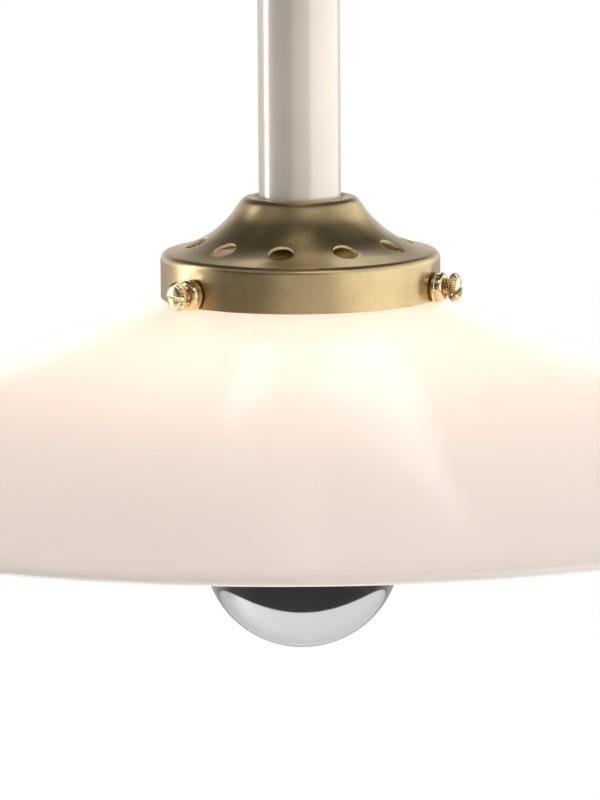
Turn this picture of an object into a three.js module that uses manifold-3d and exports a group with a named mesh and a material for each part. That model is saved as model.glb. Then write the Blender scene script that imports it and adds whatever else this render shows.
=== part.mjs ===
// A pendant ceiling light: an opal glass cone held in a vented brass gallery under a rigid lacquered
// stem, with a crown-mirrored screw-cap bulb. Millimetres, +Z up. The origin is the centre of the
// ceiling plate's upper face, so everything hangs below z = 0.
import * as THREE from "three";
import { mergeVertices } from "three/addons/utils/BufferGeometryUtils.js";
import Module from "manifold-3d";

const wasm = await Module();
wasm.setup();

// ---------- driving dimensions ----------

const GAP = 0.3; // clearance between pieces that rest on or sit in each other
const SCREW_SHY = 0.4; // how far a screw's tip stays back from the far face
const SLIDE_FIT = 0.4; // round the stem, in the canopy, its collar and the gallery's socket
const THROUGH = 1; // how far a cutting tool runs past the face it cuts
const COARSE = 18; // sides of small turned pieces
const FINE = 40; // sides of large turned pieces
const ROUND = 24; // sides of the bulb

// Ceiling plate and the yoke under it
const PLATE_R = 46;
const PLATE_T = 2;
const PLATE_SLOT_Y = 36; // distance of each fixing slot from the axis
const PLATE_SLOT_W = 4.5;
const PLATE_SLOT_L = 12;
const SUPPLY_HOLE_R = 6;
const SUPPLY_HOLE_Y = 22;
const YOKE_T = 2;
const YOKE_W = 20;
const YOKE_INNER = 20; // half the clear width between its legs
const YOKE_FOOT = 16;
const YOKE_DROP = 24; // from the plate down to the underside of its web
const YOKE_SCREW_R = 2;
const YOKE_HEAD_R = 3.8;
const YOKE_HEAD_H = 2.4;

// Threaded hollow nipples and their nuts
const NIPPLE_R = 5;
const NIPPLE_BORE_R = 3.8;
const NUT_FLATS = 14;
const NUT_H = 3;
const TOP_NIPPLE_L = 27;
const NIPPLE_STAND = 9; // how far the top nipple stands above the yoke's web
const BOTTOM_NIPPLE_L = 26;

// Terminal block
const POLE_PITCH = 9;
const POLE_W = 8;
const BLOCK_D = 15;
const BLOCK_H = 12;
const BLOCK_Y = -14; // its face towards the axis
const BLOCK_STEP = 2; // how far the web between the poles lies below their faces
const WELL_R = 2.4;
const WELL_H = 7;
const CLAMP_R = 1.3; // shanks of the block's and the lampholder's terminal screws
const CLAMP_HEAD_H = 1.8;
const BLOCK_HEAD_R = 2;

// Canopy
const CANOPY_R = 55;
const CANOPY_H = 46;
const CANOPY_T = 1.2;
const CANOPY_EDGE_R = 12; // radius of its lower edge
const COLLAR_R = 18;
const COLLAR_H = 10;
const GRUB_R = 1.5;

// Stem
const STEM_R = 12.7;
const STEM_T = 1.5;
const STEM_L = 400;
const PLUG_H = 14;

// Wires in the stem
const WIRE_R = 1.1;
const WIRE_SPREAD = 1.75; // distance of each wire from the axis
const WIRE_SIDES = 6;

// Gallery
const RING_R = 43.3;
const RING_T = 0.9;
const BAND_H = 11.6;
const SHOULDER_R = 2.5;
const SHOULDER_SLOPE = 20; // degrees, where the shoulder runs into the flare
const GALLERY_H = 31;
const ROLL_R = 3.4; // radius of the rolled upper edge
const FLANK_SLOPE = 54; // degrees, where the flare meets the rolled edge
const SEAT_DEPTH = 2.5; // of the stem's socket below the rolled edge
const FLARE = [[0.72, 0.114], [0.43, 0.323], [0.17, 0.66]]; // shares of the flare's width and height
const VENT_COUNT = 10;
const VENT_R = 4;
const VENT_SHARE = 0.6; // where the vents sit across the flare's width
const VENT_FIRST = -10.65; // degrees from the front, turning towards +X

// Thumbscrews and the bosses they run in
const SCREW_ANGLES = [-48.8, 71.2, 191.2];
const SLOT_ANGLES = [-9, 21, 64]; // how each head's slot happens to stand
const SCREW_Z = 4.2; // above the gallery's lower edge
const SCREW_R = 1.9;
const BOSS_R = 4.7;
const BOSS_NOSE_R = 3.3;
const BOSS_FLANGE = 2;
const BOSS_NOSE = 1.5;
const SPIGOT_R = 3.1;
const HEAD_R = 4.5;
const HEAD_T = 3;
const HEAD_GAP = 1.5; // between boss and head when the screw is tight
const HEAD_SLOT_W = 1.1;
const HEAD_SLOT_D = 1.2;
const PAD_R = 1.7;
const PAD_L = 1.3;

// Opal shade
const SHADE_R = 181.9;
const SHADE_T = 3;
const SHADE_SLOPE = 0.394; // drop for each millimetre outwards
const SHADE_GAP = 0.7; // below the gallery's lower edge
const LIP_CLEAR = 0.8;
const LIP_H = 3.6;
const LIP_EDGE = 1; // chamfers of the lip
const PAD_CLEAR = 0.9; // between the pads and the underside of the lip
const GROOVE_DEPTH = 2.3;
const NECK_FILLET = 3.2;

// Lampholder
const HOLDER_R = 20;
const HOLDER_T = 1.2;
const HOLDER_TOP = 23.9; // above the gallery's lower edge
const HOLDER_BOTTOM = -26;
const HOLDER_JOINT = 11.5; // where cap and sleeve meet
const HOLDER_BOSS_R = 8;
const HOLDER_BOSS_H = 5;
const HOLDER_STEP = 3; // how far the boss stands above the dome
const CORE_TOP = 8;
const CORE_BOTTOM = -4.5;
const CORE_R = 16.5;
const RECESS_R = 9;
const RECESS_H = 3.5;
const SHELL_R = 14.1;
const SHELL_T = 0.5;
const SHELL_L = 19.5;
const TERMINAL_REACH = 9.3;
const TERMINAL_HEAD_R = 2.6;
const TERMINAL_HOLE_R = 1.6;
const TERMINAL_HOLE_H = 4.5;
const TIP_CLEAR = 0.5;
const FLANGE_T = 3; // of the core, resting on the shoulder of the sleeve
const LEAF_L = 13; // the springy centre contact
const LEAF_W = 5;
const LEAF_T = 0.8;

// Bulb
const BULB_R = 30.9;
const BULB_Z = -79.5; // centre of its round part, from the gallery's lower edge
const BULB_T = 0.9;
const BULB_NECK_R = 12.3;
const BULB_CUT = 40; // latitude where the round part runs into the neck, degrees
const CAP_R = 13.1;
const CAP_T = 0.5;
const CAP_L = 20;
const CONTACT_R = 4.7;
const CONTACT_H = 1.5;
const CONTACT_CLEAR = 0.6; // under the leaf, where the real contact presses on it
const INSULATOR_H = 3;
const MIRROR_T = 0.4;
const MIRROR_LATITUDE = 8;
const FILAMENT_COUNT = 4;
const FILAMENT_L = 26;
const FILAMENT_R = 0.9;
const FILAMENT_REACH = 5.5; // distance of each filament from the axis
const ROD_R = 1.4; // of the mount, between the filaments
const STEM_PRESS_R = 3.2; // of the mount, where it is pressed flat above the rod
const SUPPORT_T = 0.6; // rings that carry the filaments

// ---------- derived places ----------

const YOKE_WEB_Z = -PLATE_T - GAP - YOKE_DROP;
const STEM_TOP_Z = YOKE_WEB_Z - NUT_H - 2 * GAP;
const STEM_BOTTOM_Z = STEM_TOP_Z - STEM_L;
const SEAT_Z = GALLERY_H - SEAT_DEPTH;
const RIM_Z = STEM_BOTTOM_Z - GAP - SEAT_Z; // the gallery's lower edge; the lower pieces hang from here
const SOCKET_R = STEM_R + SLIDE_FIT;
const RING_BORE = RING_R - RING_T;
const LIP_R = RING_BORE - LIP_CLEAR;
const GROOVE_R = LIP_R - GROOVE_DEPTH;
const NECK_BORE = GROOVE_R - SHADE_T;
const BOSS_FACE = RING_R + GAP;
const BOSS_END = BOSS_FACE + BOSS_FLANGE + BOSS_NOSE;
const PAD_FACE = GROOVE_R + GAP;
const SHANK_START = PAD_FACE + PAD_L + GAP;
const HEAD_START = BOSS_END + HEAD_GAP;
const LIP_Z = SCREW_Z + PAD_R + PAD_CLEAR;
const CONTACT_TOP = CORE_BOTTOM + RECESS_H - GAP - LEAF_T - CONTACT_CLEAR;
const CAP_TOP = CONTACT_TOP - CONTACT_H - INSULATOR_H - 2 * GAP;
const CAP_BOTTOM = CAP_TOP - CAP_L;

// ---------- materials ----------

function finish(color, roughness, metalness) {
  return new THREE.MeshStandardMaterial({ color, roughness, metalness });
}

const LACQUER = finish(0xe9e0d2, 0.35, 0);
const SATIN_BRASS = finish(0xa98f5c, 0.4, 1);
const POLISHED_BRASS = finish(0xcdb27a, 0.2, 1);
const ZINC = finish(0xa9adb0, 0.4, 1);
const OPAL = finish(0xf5e6de, 0.12, 0);
const CLEAR_GLASS = finish(0xeef2f3, 0.02, 0);
const MIRROR = finish(0xd9dadd, 0.03, 1);
const NICKEL = finish(0xc9c8c2, 0.25, 1);
const PHENOLIC = finish(0x23201e, 0.4, 0);
const PORCELAIN = finish(0xf2efe8, 0.2, 0);
const NYLON = finish(0xe6e0d0, 0.5, 0);
const FILAMENT = finish(0xe8b84a, 0.5, 0);
const WIRE_COLOURS = [0x7a4526, 0x2f5f9e, 0x6f9a3c];

// ---------- helpers ----------

const lamp = new THREE.Group();
const lower = new THREE.Group(); // everything placed from the gallery's lower edge
lower.position.z = RIM_Z;
lamp.add(lower);

function radians(degrees) {
  return (degrees * Math.PI) / 180;
}

function place(parent, name, geometry, material) {
  const mesh = new THREE.Mesh(geometry, material);
  mesh.name = name;
  parent.add(mesh);
  return mesh;
}

// Points [r, z] of an arc, from one angle to another in degrees, measured from +r towards +z.
function arc(centreR, centreZ, radius, from, to, steps) {
  const points = [];
  for (let i = 0; i <= steps; i++) {
    const a = radians(from + ((to - from) * i) / steps);
    points.push([centreR + radius * Math.cos(a), centreZ + radius * Math.sin(a)]);
  }
  return points;
}

// Twice the area enclosed by [r, z] points, positive when they run anticlockwise.
function turnOf(profile) {
  let sum = 0;
  profile.forEach(([r, z], i) => {
    const [nextR, nextZ] = profile[(i + 1) % profile.length];
    sum += r * nextZ - nextR * z;
  });
  return sum;
}

// Turns an outline of [r, z] points about Z. It closes on itself unless it starts and ends on the axis.
function turned(profile, sides) {
  const outline = turnOf(profile) > 0 ? [...profile] : [...profile].reverse();
  const onAxis = outline.findIndex(([r], i) => r === 0 && outline[(i + 1) % outline.length][0] === 0);
  if (onAxis >= 0) outline.push(...outline.splice(0, onAxis + 1));
  else outline.push(outline[0]);
  const points = outline.map(([r, z]) => new THREE.Vector2(r, z));
  return new THREE.LatheGeometry(points, sides).rotateX(Math.PI / 2);
}

// A ring or tube between two radii and two heights.
function ring(inner, outer, low, high, sides) {
  return turned([[inner, low], [outer, low], [outer, high], [inner, high]], sides);
}

// A disc or rod between two heights.
function disc(radius, low, high, sides) {
  return turned([[0, low], [radius, low], [radius, high], [0, high]], sides);
}

function box(width, depth, low, high, x = 0, y = 0) {
  return new THREE.BoxGeometry(width, depth, high - low).translate(x, y, (low + high) / 2);
}

function solidOf(geometry) {
  const bare = new THREE.BufferGeometry();
  const flat = geometry.index ? geometry.toNonIndexed() : geometry;
  bare.setAttribute("position", flat.getAttribute("position"));
  const merged = mergeVertices(bare, 1e-4);
  const vertProperties = new Float32Array(merged.attributes.position.array);
  const triVerts = new Uint32Array(merged.index.array);
  return new wasm.Manifold(new wasm.Mesh({ numProp: 3, vertProperties, triVerts }));
}

function geometryOf(solid) {
  const mesh = solid.getMesh();
  const geometry = new THREE.BufferGeometry();
  geometry.setAttribute("position", new THREE.BufferAttribute(mesh.vertProperties, mesh.numProp));
  geometry.setIndex(new THREE.BufferAttribute(mesh.triVerts, 1));
  return geometry;
}

function cut(geometry, tools) {
  return geometryOf(tools.reduce((solid, tool) => solid.subtract(solidOf(tool)), solidOf(geometry)));
}

function join(pieces) {
  const [first, ...others] = pieces.map(solidOf);
  return geometryOf(others.reduce((solid, piece) => solid.add(piece), first));
}

// Extrudes an outline of [x, y] points upwards, with an optional round hole at its centre.
function prism(outline, low, high, bore = 0) {
  const shape = new THREE.Shape(outline.map(([x, y]) => new THREE.Vector2(x, y)));
  if (bore > 0) shape.holes.push(new THREE.Path().absarc(0, 0, bore, 0, 2 * Math.PI, true));
  const options = { depth: high - low, bevelEnabled: false, curveSegments: COARSE / 2 };
  return new THREE.ExtrudeGeometry(shape, options).translate(0, 0, low);
}

function hexNut(bore, low, high) {
  const corner = NUT_FLATS / 2 / Math.cos(Math.PI / 6);
  const outline = [0, 1, 2, 3, 4, 5].map((k) => {
    const a = (k * Math.PI) / 3;
    return [corner * Math.cos(a), corner * Math.sin(a)];
  });
  return prism(outline, low, high, bore);
}

// A pan-head screw on the axis: the head lies between low and high, the shank goes on to tip.
function panScrew(headR, shankR, low, high, tip) {
  const seat = Math.abs(tip - low) > Math.abs(tip - high) ? high : low;
  const crown = seat === high ? low : high;
  const lift = (high - low) * (crown > seat ? 1 : -1);
  const profile = [[0, crown], [headR * 0.6, crown], [headR, crown - 0.5 * lift], [headR, seat]];
  profile.push([shankR, seat], [shankR, tip], [0, tip]);
  return turned(profile, COARSE / 2);
}

// Turns a piece made along Z to point outwards at an angle from the front, at a given height.
function radial(parent, degrees, height) {
  const holder = new THREE.Group();
  holder.rotation.set(Math.PI / 2, 0, radians(degrees), "ZXY");
  holder.position.z = height;
  parent.add(holder);
  return holder;
}

// A route through points whose steps follow the points, so that they crowd where the bends are.
class Route extends THREE.CatmullRomCurve3 {
  getPointAt(share) {
    return this.getPoint(share);
  }

  getTangentAt(share) {
    return this.getTangent(share);
  }
}

function wire(points) {
  const corners = Array.from({ length: WIRE_SIDES }, (_, i) => {
    const a = (2 * Math.PI * i) / WIRE_SIDES;
    return new THREE.Vector2(WIRE_R * Math.cos(a), WIRE_R * Math.sin(a));
  });
  const extrudePath = new Route(points.map((p) => new THREE.Vector3(...p)));
  const steps = 3 * (points.length - 1);
  return new THREE.ExtrudeGeometry(new THREE.Shape(corners), { extrudePath, steps, bevelEnabled: false });
}

// ---------- ceiling end ----------

function ceilingPlate() {
  const plate = disc(PLATE_R, -PLATE_T, 0, FINE);
  const tools = [-1, 1].map((side) =>
    box(PLATE_SLOT_L, PLATE_SLOT_W, -PLATE_T - THROUGH, THROUGH, 0, side * PLATE_SLOT_Y),
  );
  tools.push(disc(SUPPLY_HOLE_R, -PLATE_T - THROUGH, THROUGH, COARSE).translate(0, SUPPLY_HOLE_Y, 0));
  yokeScrewPlaces().forEach((x) => {
    tools.push(disc(YOKE_SCREW_R + GAP, -PLATE_T - THROUGH, THROUGH, COARSE).translate(x, 0, 0));
  });
  place(lamp, "ceiling_plate", cut(plate, tools), ZINC);
}

function yokeScrewPlaces() {
  const reach = YOKE_INNER + YOKE_T + YOKE_FOOT / 2;
  return [-reach, reach];
}

function yoke() {
  const top = -PLATE_T - GAP;
  const outer = YOKE_INNER + YOKE_T;
  const half = [[YOKE_INNER, top], [outer + YOKE_FOOT, top], [outer + YOKE_FOOT, top - YOKE_T]];
  half.push([outer, top - YOKE_T], [outer, YOKE_WEB_Z]);
  const inside = [YOKE_INNER, YOKE_WEB_Z + YOKE_T];
  const mirrored = [...half].reverse().map(([x, z]) => [-x, z]);
  const outline = [...half, ...mirrored, [-inside[0], inside[1]], inside];
  const strap = prism(outline, -YOKE_W / 2, YOKE_W / 2).rotateX(Math.PI / 2);
  const tools = [disc(NIPPLE_R + GAP, YOKE_WEB_Z - THROUGH, YOKE_WEB_Z + YOKE_T + THROUGH, COARSE)];
  yokeScrewPlaces().forEach((x) => {
    const drill = disc(YOKE_SCREW_R + GAP, top - YOKE_T - THROUGH, top + THROUGH, COARSE);
    tools.push(drill.translate(x, 0, 0));
    const seat = top - YOKE_T - GAP;
    const screw = panScrew(YOKE_HEAD_R, YOKE_SCREW_R, seat - YOKE_HEAD_H, seat, -SCREW_SHY);
    screw.translate(x, 0, 0);
    place(lamp, x < 0 ? "yoke_screw_left" : "yoke_screw_right", screw, ZINC);
  });
  place(lamp, "hanger_yoke", cut(strap, tools), ZINC);
}

function topNipple() {
  const top = YOKE_WEB_Z + YOKE_T + NIPPLE_STAND;
  place(lamp, "top_nipple", ring(NIPPLE_BORE_R, NIPPLE_R, top - TOP_NIPPLE_L, top, COARSE), ZINC);
  const upper = YOKE_WEB_Z + YOKE_T + GAP;
  place(lamp, "yoke_nut_upper", hexNut(NIPPLE_R + GAP, upper, upper + NUT_H), ZINC);
  const under = YOKE_WEB_Z - GAP;
  place(lamp, "yoke_nut_lower", hexNut(NIPPLE_R + GAP, under - NUT_H, under), ZINC);
}

function poleOffset(index) {
  return (index - 1) * POLE_PITCH;
}

function terminalBlock() {
  const top = -PLATE_T - GAP;
  const bottom = top - BLOCK_H;
  const middle = BLOCK_Y - BLOCK_D / 2;
  const length = 2 * POLE_PITCH + POLE_W;
  const web = box(length, BLOCK_D - 2 * BLOCK_STEP, bottom + BLOCK_STEP, top, 0, middle);
  const poles = [0, 1, 2].map((i) => box(POLE_W, BLOCK_D, bottom, top - 1, poleOffset(i), middle));
  const wells = [0, 1, 2].map((i) =>
    disc(WELL_R, bottom - THROUGH, bottom + WELL_H, COARSE).translate(poleOffset(i), middle, 0),
  );
  place(lamp, "terminal_block", cut(join([web, ...poles]), wells), NYLON);
  for (let i = 0; i < 3; i++) {
    const low = bottom + 1.2;
    const screw = panScrew(BLOCK_HEAD_R, CLAMP_R, low, low + CLAMP_HEAD_H, bottom + WELL_H - 2 * GAP);
    place(lamp, "block_screw_" + (i + 1), screw.translate(poleOffset(i), middle, 0), ZINC);
  }
}

// ---------- canopy ----------

function canopy() {
  const top = -GAP;
  const bottom = top - CANOPY_H;
  const bore = STEM_R + SLIDE_FIT;
  const edge = arc(CANOPY_R - CANOPY_EDGE_R, bottom + CANOPY_EDGE_R, CANOPY_EDGE_R, 0, -90, 5);
  const inner = CANOPY_EDGE_R - CANOPY_T;
  const inside = arc(CANOPY_R - CANOPY_EDGE_R, bottom + CANOPY_EDGE_R, inner, -90, 0, 5);
  const profile = [[CANOPY_R, top], ...edge, [bore, bottom], [bore, bottom + CANOPY_T], ...inside];
  profile.push([CANOPY_R - CANOPY_T, top]);
  place(lamp, "canopy", turned(profile, FINE), LACQUER);

  const high = bottom - GAP;
  const low = high - COLLAR_H;
  const outline = [[bore, high], [bore, low], [COLLAR_R - 1, low], [COLLAR_R, low + 1], [COLLAR_R, high]];
  const grubHole = disc(GRUB_R + GAP, 0, 2 * COLLAR_R, COARSE / 2);
  grubHole.rotateX(-Math.PI / 2).translate(0, 0, (low + high) / 2);
  place(lamp, "canopy_collar", cut(turned(outline, FINE), [grubHole]), SATIN_BRASS);
  const grub = disc(GRUB_R, STEM_R + GAP, COLLAR_R - SCREW_SHY, COARSE / 2);
  grub.rotateX(-Math.PI / 2).translate(0, 0, (low + high) / 2);
  place(lamp, "canopy_grub_screw", grub, ZINC);
}

// ---------- stem ----------

function stem() {
  const bore = STEM_R - STEM_T;
  place(lamp, "stem_tube", ring(bore, STEM_R, STEM_BOTTOM_Z, STEM_TOP_Z, FINE), LACQUER);
  const plugs = [["stem_top_plug", STEM_TOP_Z - PLUG_H], ["stem_bottom_plug", STEM_BOTTOM_Z]];
  plugs.forEach(([name, low]) => {
    place(lamp, name, ring(NIPPLE_R + GAP, bore - GAP, low, low + PLUG_H, COARSE), ZINC);
  });
  const low = RIM_Z + HOLDER_TOP - HOLDER_BOSS_H - 1;
  const nipple = ring(NIPPLE_BORE_R, NIPPLE_R, low, low + BOTTOM_NIPPLE_L, COARSE);
  place(lamp, "bottom_nipple", nipple, ZINC);
}

// Each wire runs from its pole of the terminal block down the stem to its lampholder terminal.
function wires() {
  const names = ["wire_live", "wire_neutral", "wire_earth"];
  const poles = [0, 2, 1];
  const spread = [[-0.88, 0.48], [0.88, 0.48], [0, -1]];
  const ends = [[-1, 0], [1, 0], [0, -1]];
  const blockZ = -PLATE_T - GAP - BLOCK_H / 2;
  const entryZ = YOKE_WEB_Z + YOKE_T + NIPPLE_STAND;
  const endZ = RIM_Z + CORE_TOP + WIRE_R + GAP;
  const endReach = TERMINAL_REACH - TERMINAL_HEAD_R - GAP;
  names.forEach((name, k) => {
    const x = poleOffset(poles[k]);
    const [dx, dy] = spread[k].map((share) => share * WIRE_SPREAD);
    const [ex, ey] = ends[k].map((share) => share * endReach);
    const points = [[x, BLOCK_Y + GAP, blockZ], [x * 0.9, BLOCK_Y + 4, blockZ + 0.4]];
    points.push([x * 0.5 + dx * 0.5, BLOCK_Y * 0.35, blockZ + 0.2], [dx * 1.2, dy * 1.1, entryZ + 1.5]);
    const top = entryZ - 3;
    const bottom = RIM_Z + HOLDER_TOP - HOLDER_BOSS_H - 2;
    const middle = (top + bottom) / 2;
    const run = [top, top - 6, top - 24, middle, bottom + 24, bottom + 6, bottom];
    run.forEach((z) => points.push([dx, dy, z]));
    points.push([dx + (ex - dx) * 0.35, dy + (ey - dy) * 0.35, endZ + 3.2], [ex, ey, endZ]);
    place(lamp, name, wire(points), finish(WIRE_COLOURS[k], 0.5, 0));
  });
}

// ---------- gallery ----------

// The outside of the gallery, from its lower edge up over the shoulder, the flare and the rolled edge.
function galleryOutside() {
  const shoulderR = RING_R - SHOULDER_R;
  const shoulder = arc(shoulderR, BAND_H, SHOULDER_R, 0, 90 - SHOULDER_SLOPE, 4);
  const [lowR, lowZ] = shoulder[shoulder.length - 1];
  const rollCentreR = SOCKET_R + 0.75 * ROLL_R;
  const inward = (Math.acos(-0.75) * 180) / Math.PI;
  const roll = arc(rollCentreR, GALLERY_H - ROLL_R, ROLL_R, 90 - FLANK_SLOPE, inward, 5);
  const [highR, highZ] = roll[0];
  const knots = [[1, 0], ...FLARE, [0, 1]].map(
    ([across, up]) => new THREE.Vector2(highR + across * (lowR - highR), lowZ + up * (highZ - lowZ)),
  );
  const flare = new THREE.SplineCurve(knots).getPoints(9).slice(1, -1);
  return { shoulder, flare: flare.map((p) => [p.x, p.y]), roll };
}

// Moves an open outline sideways by a wall thickness, to its left as the points run.
function inset(points, wall) {
  return points.map(([r, z], i) => {
    const [r0, z0] = points[Math.max(i - 1, 0)];
    const [r1, z1] = points[Math.min(i + 1, points.length - 1)];
    const length = Math.hypot(r1 - r0, z1 - z0);
    return [r - (wall * (z1 - z0)) / length, z + (wall * (r1 - r0)) / length];
  });
}

function gallery() {
  const { shoulder, flare, roll } = galleryOutside();
  const webZ = SEAT_Z - RING_T;
  const skin = [[RING_R, 0], ...shoulder, ...flare];
  const inside = inset(skin, RING_T).filter(([, z]) => z < webZ);
  inside[0] = [RING_BORE, 0];
  const outline = [...skin, ...roll, [SOCKET_R, SEAT_Z], [NIPPLE_R + GAP, SEAT_Z]];
  outline.push([NIPPLE_R + GAP, webZ], [inside[inside.length - 1][0] - 0.5, webZ], ...inside.reverse());
  place(lower, "gallery", cut(turned(outline, FINE), [...ventTools(flare), ...spigotTools()]), SATIN_BRASS);
  const under = webZ - GAP;
  place(lower, "gallery_nut", hexNut(NIPPLE_R + GAP, under - NUT_H, under), ZINC);
}

// Round punches square to the flare, one for each vent.
function ventTools(flare) {
  const [outerR] = flare[0];
  const [innerR] = flare[flare.length - 1];
  const target = innerR + VENT_SHARE * (outerR - innerR);
  const at = flare.findIndex(([r]) => r < target);
  const [r0, z0] = flare[at - 1];
  const [r1, z1] = flare[at];
  const share = (r0 - target) / (r0 - r1);
  const height = z0 + share * (z1 - z0);
  const lean = Math.atan2(z1 - z0, r0 - r1);
  return Array.from({ length: VENT_COUNT }, (_, i) => {
    const punch = disc(VENT_R, -3, 3, COARSE / 2 + 3).rotateX(lean).translate(0, -target, height);
    return punch.rotateZ(radians(VENT_FIRST + (360 * i) / VENT_COUNT));
  });
}

function spigotTools() {
  return SCREW_ANGLES.map((degrees) => {
    const drill = disc(SPIGOT_R + GAP, RING_BORE - 3, RING_R + 3, COARSE);
    return drill.rotateX(Math.PI / 2).rotateZ(radians(degrees)).translate(0, 0, SCREW_Z);
  });
}

// ---------- thumbscrews ----------

function boss(holder, index) {
  const bore = SCREW_R + GAP;
  const outline = [[bore, RING_BORE], [SPIGOT_R, RING_BORE], [SPIGOT_R, BOSS_FACE], [BOSS_R, BOSS_FACE]];
  outline.push([BOSS_R, BOSS_FACE + BOSS_FLANGE], [BOSS_NOSE_R, BOSS_END], [bore, BOSS_END]);
  place(holder, "screw_boss_" + index, turned(outline, COARSE), POLISHED_BRASS);
}

function thumbscrew(holder, index, slotDegrees) {
  const end = HEAD_START + HEAD_T;
  const outline = [[0, SHANK_START], [SCREW_R, SHANK_START], [SCREW_R, HEAD_START]];
  outline.push([HEAD_R - 0.7, HEAD_START], [HEAD_R, HEAD_START + 0.7], [HEAD_R, end - 0.8]);
  outline.push([HEAD_R - 0.8, end], [0, end]);
  const slot = box(2 * HEAD_R + 2, HEAD_SLOT_W, end - HEAD_SLOT_D, end + 1).rotateZ(radians(slotDegrees));
  place(holder, "thumbscrew_" + index, cut(turned(outline, COARSE), [slot]), POLISHED_BRASS);
  place(holder, "thumbscrew_pad_" + index, disc(PAD_R, PAD_FACE, PAD_FACE + PAD_L, COARSE / 2), NYLON);
}

function shadeScrews() {
  SCREW_ANGLES.forEach((degrees, i) => {
    const holder = radial(lower, degrees, SCREW_Z);
    boss(holder, i + 1);
    thumbscrew(holder, i + 1, SLOT_ANGLES[i]);
  });
}

// ---------- shade ----------

function shade() {
  const slope = Math.atan(SHADE_SLOPE);
  const drop = (r) => -SHADE_GAP - SHADE_SLOPE * (r - RING_R);
  const lipTop = LIP_Z + LIP_H;
  const footR = GROOVE_R + NECK_FILLET * (1 - Math.sin(slope));
  const footZ = drop(footR) + NECK_FILLET * Math.cos(slope);
  const fillet = arc(GROOVE_R + NECK_FILLET, footZ, NECK_FILLET, 180, 270 - (slope * 180) / Math.PI, 4);
  const edge = SHADE_T / 2;
  const rimR = SHADE_R - edge;
  const rimZ = drop(rimR) - edge / Math.cos(slope);
  const tilt = (slope * 180) / Math.PI;
  const rim = arc(rimR, rimZ, edge, 90 - tilt, -90 - tilt, 6);
  const lip = [[NECK_BORE, lipTop - LIP_EDGE], [NECK_BORE + LIP_EDGE, lipTop]];
  lip.push([LIP_R - LIP_EDGE, lipTop], [LIP_R, lipTop - LIP_EDGE]);
  lip.push([LIP_R, LIP_Z + LIP_EDGE], [LIP_R - LIP_EDGE, LIP_Z], [GROOVE_R, LIP_Z]);
  const innerFoot = drop(NECK_BORE) - SHADE_T / Math.cos(slope);
  place(lower, "shade", turned([...lip, ...fillet, ...rim, [NECK_BORE, innerFoot]], FINE), OPAL);
}

// ---------- lampholder ----------

function lampholder() {
  const bossZ = HOLDER_TOP - HOLDER_BOSS_H;
  const bore = NIPPLE_R + GAP;
  const domeR = HOLDER_R - HOLDER_BOSS_R;
  const domeH = HOLDER_TOP - HOLDER_STEP - HOLDER_JOINT;
  const dome = (wall) =>
    arc(HOLDER_BOSS_R, 0, domeR - wall, 0, 90, 5).map(([r, z]) => [
      r,
      HOLDER_JOINT + (z * (domeH - wall)) / (domeR - wall),
    ]);
  const cap = [...dome(0), [HOLDER_BOSS_R, HOLDER_TOP], [bore, HOLDER_TOP], [bore, bossZ]];
  cap.push([HOLDER_BOSS_R, bossZ], ...dome(HOLDER_T).reverse());
  place(lower, "holder_cap", turned(cap, COARSE), SATIN_BRASS);

  const high = HOLDER_JOINT - GAP;
  const sleeve = ring(HOLDER_R - HOLDER_T, HOLDER_R, HOLDER_BOTTOM, high, COARSE);
  place(lower, "holder_sleeve", sleeve, PHENOLIC);

  const flange = HOLDER_R - HOLDER_T - GAP;
  const core = [[0, CORE_TOP], [flange, CORE_TOP], [flange, CORE_TOP - FLANGE_T]];
  core.push([CORE_R, CORE_TOP - FLANGE_T], [CORE_R, CORE_BOTTOM], [RECESS_R, CORE_BOTTOM]);
  core.push([RECESS_R, CORE_BOTTOM + RECESS_H], [0, CORE_BOTTOM + RECESS_H]);
  const terminals = [[-TERMINAL_REACH, 0], [TERMINAL_REACH, 0], [0, -TERMINAL_REACH]];
  const wells = terminals.map(([x, y]) =>
    disc(TERMINAL_HOLE_R, CORE_TOP - TERMINAL_HOLE_H, CORE_TOP + THROUGH, COARSE / 2).translate(x, y, 0),
  );
  place(lower, "holder_core", cut(turned(core, COARSE), wells), PORCELAIN);
  terminals.forEach(([x, y], i) => {
    const seat = CORE_TOP + GAP;
    const tip = CORE_TOP - TERMINAL_HOLE_H + TIP_CLEAR;
    const screw = panScrew(TERMINAL_HEAD_R, CLAMP_R, seat, seat + CLAMP_HEAD_H, tip);
    place(lower, "holder_terminal_" + (i + 1), screw.translate(x, y, 0), POLISHED_BRASS);
  });

  const shellTop = CORE_BOTTOM - GAP;
  const mouth = RECESS_R - 0.8;
  const shell = [[mouth, shellTop], [SHELL_R, shellTop], [SHELL_R, shellTop - SHELL_L]];
  shell.push([SHELL_R - SHELL_T, shellTop - SHELL_L], [SHELL_R - SHELL_T, shellTop - SHELL_T]);
  shell.push([mouth, shellTop - SHELL_T]);
  place(lower, "holder_screw_shell", turned(shell, COARSE), POLISHED_BRASS);
  const leafTop = CORE_BOTTOM + RECESS_H - GAP;
  place(lower, "holder_centre_contact", box(LEAF_L, LEAF_W, leafTop - LEAF_T, leafTop), POLISHED_BRASS);
}

// ---------- bulb ----------

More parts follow.
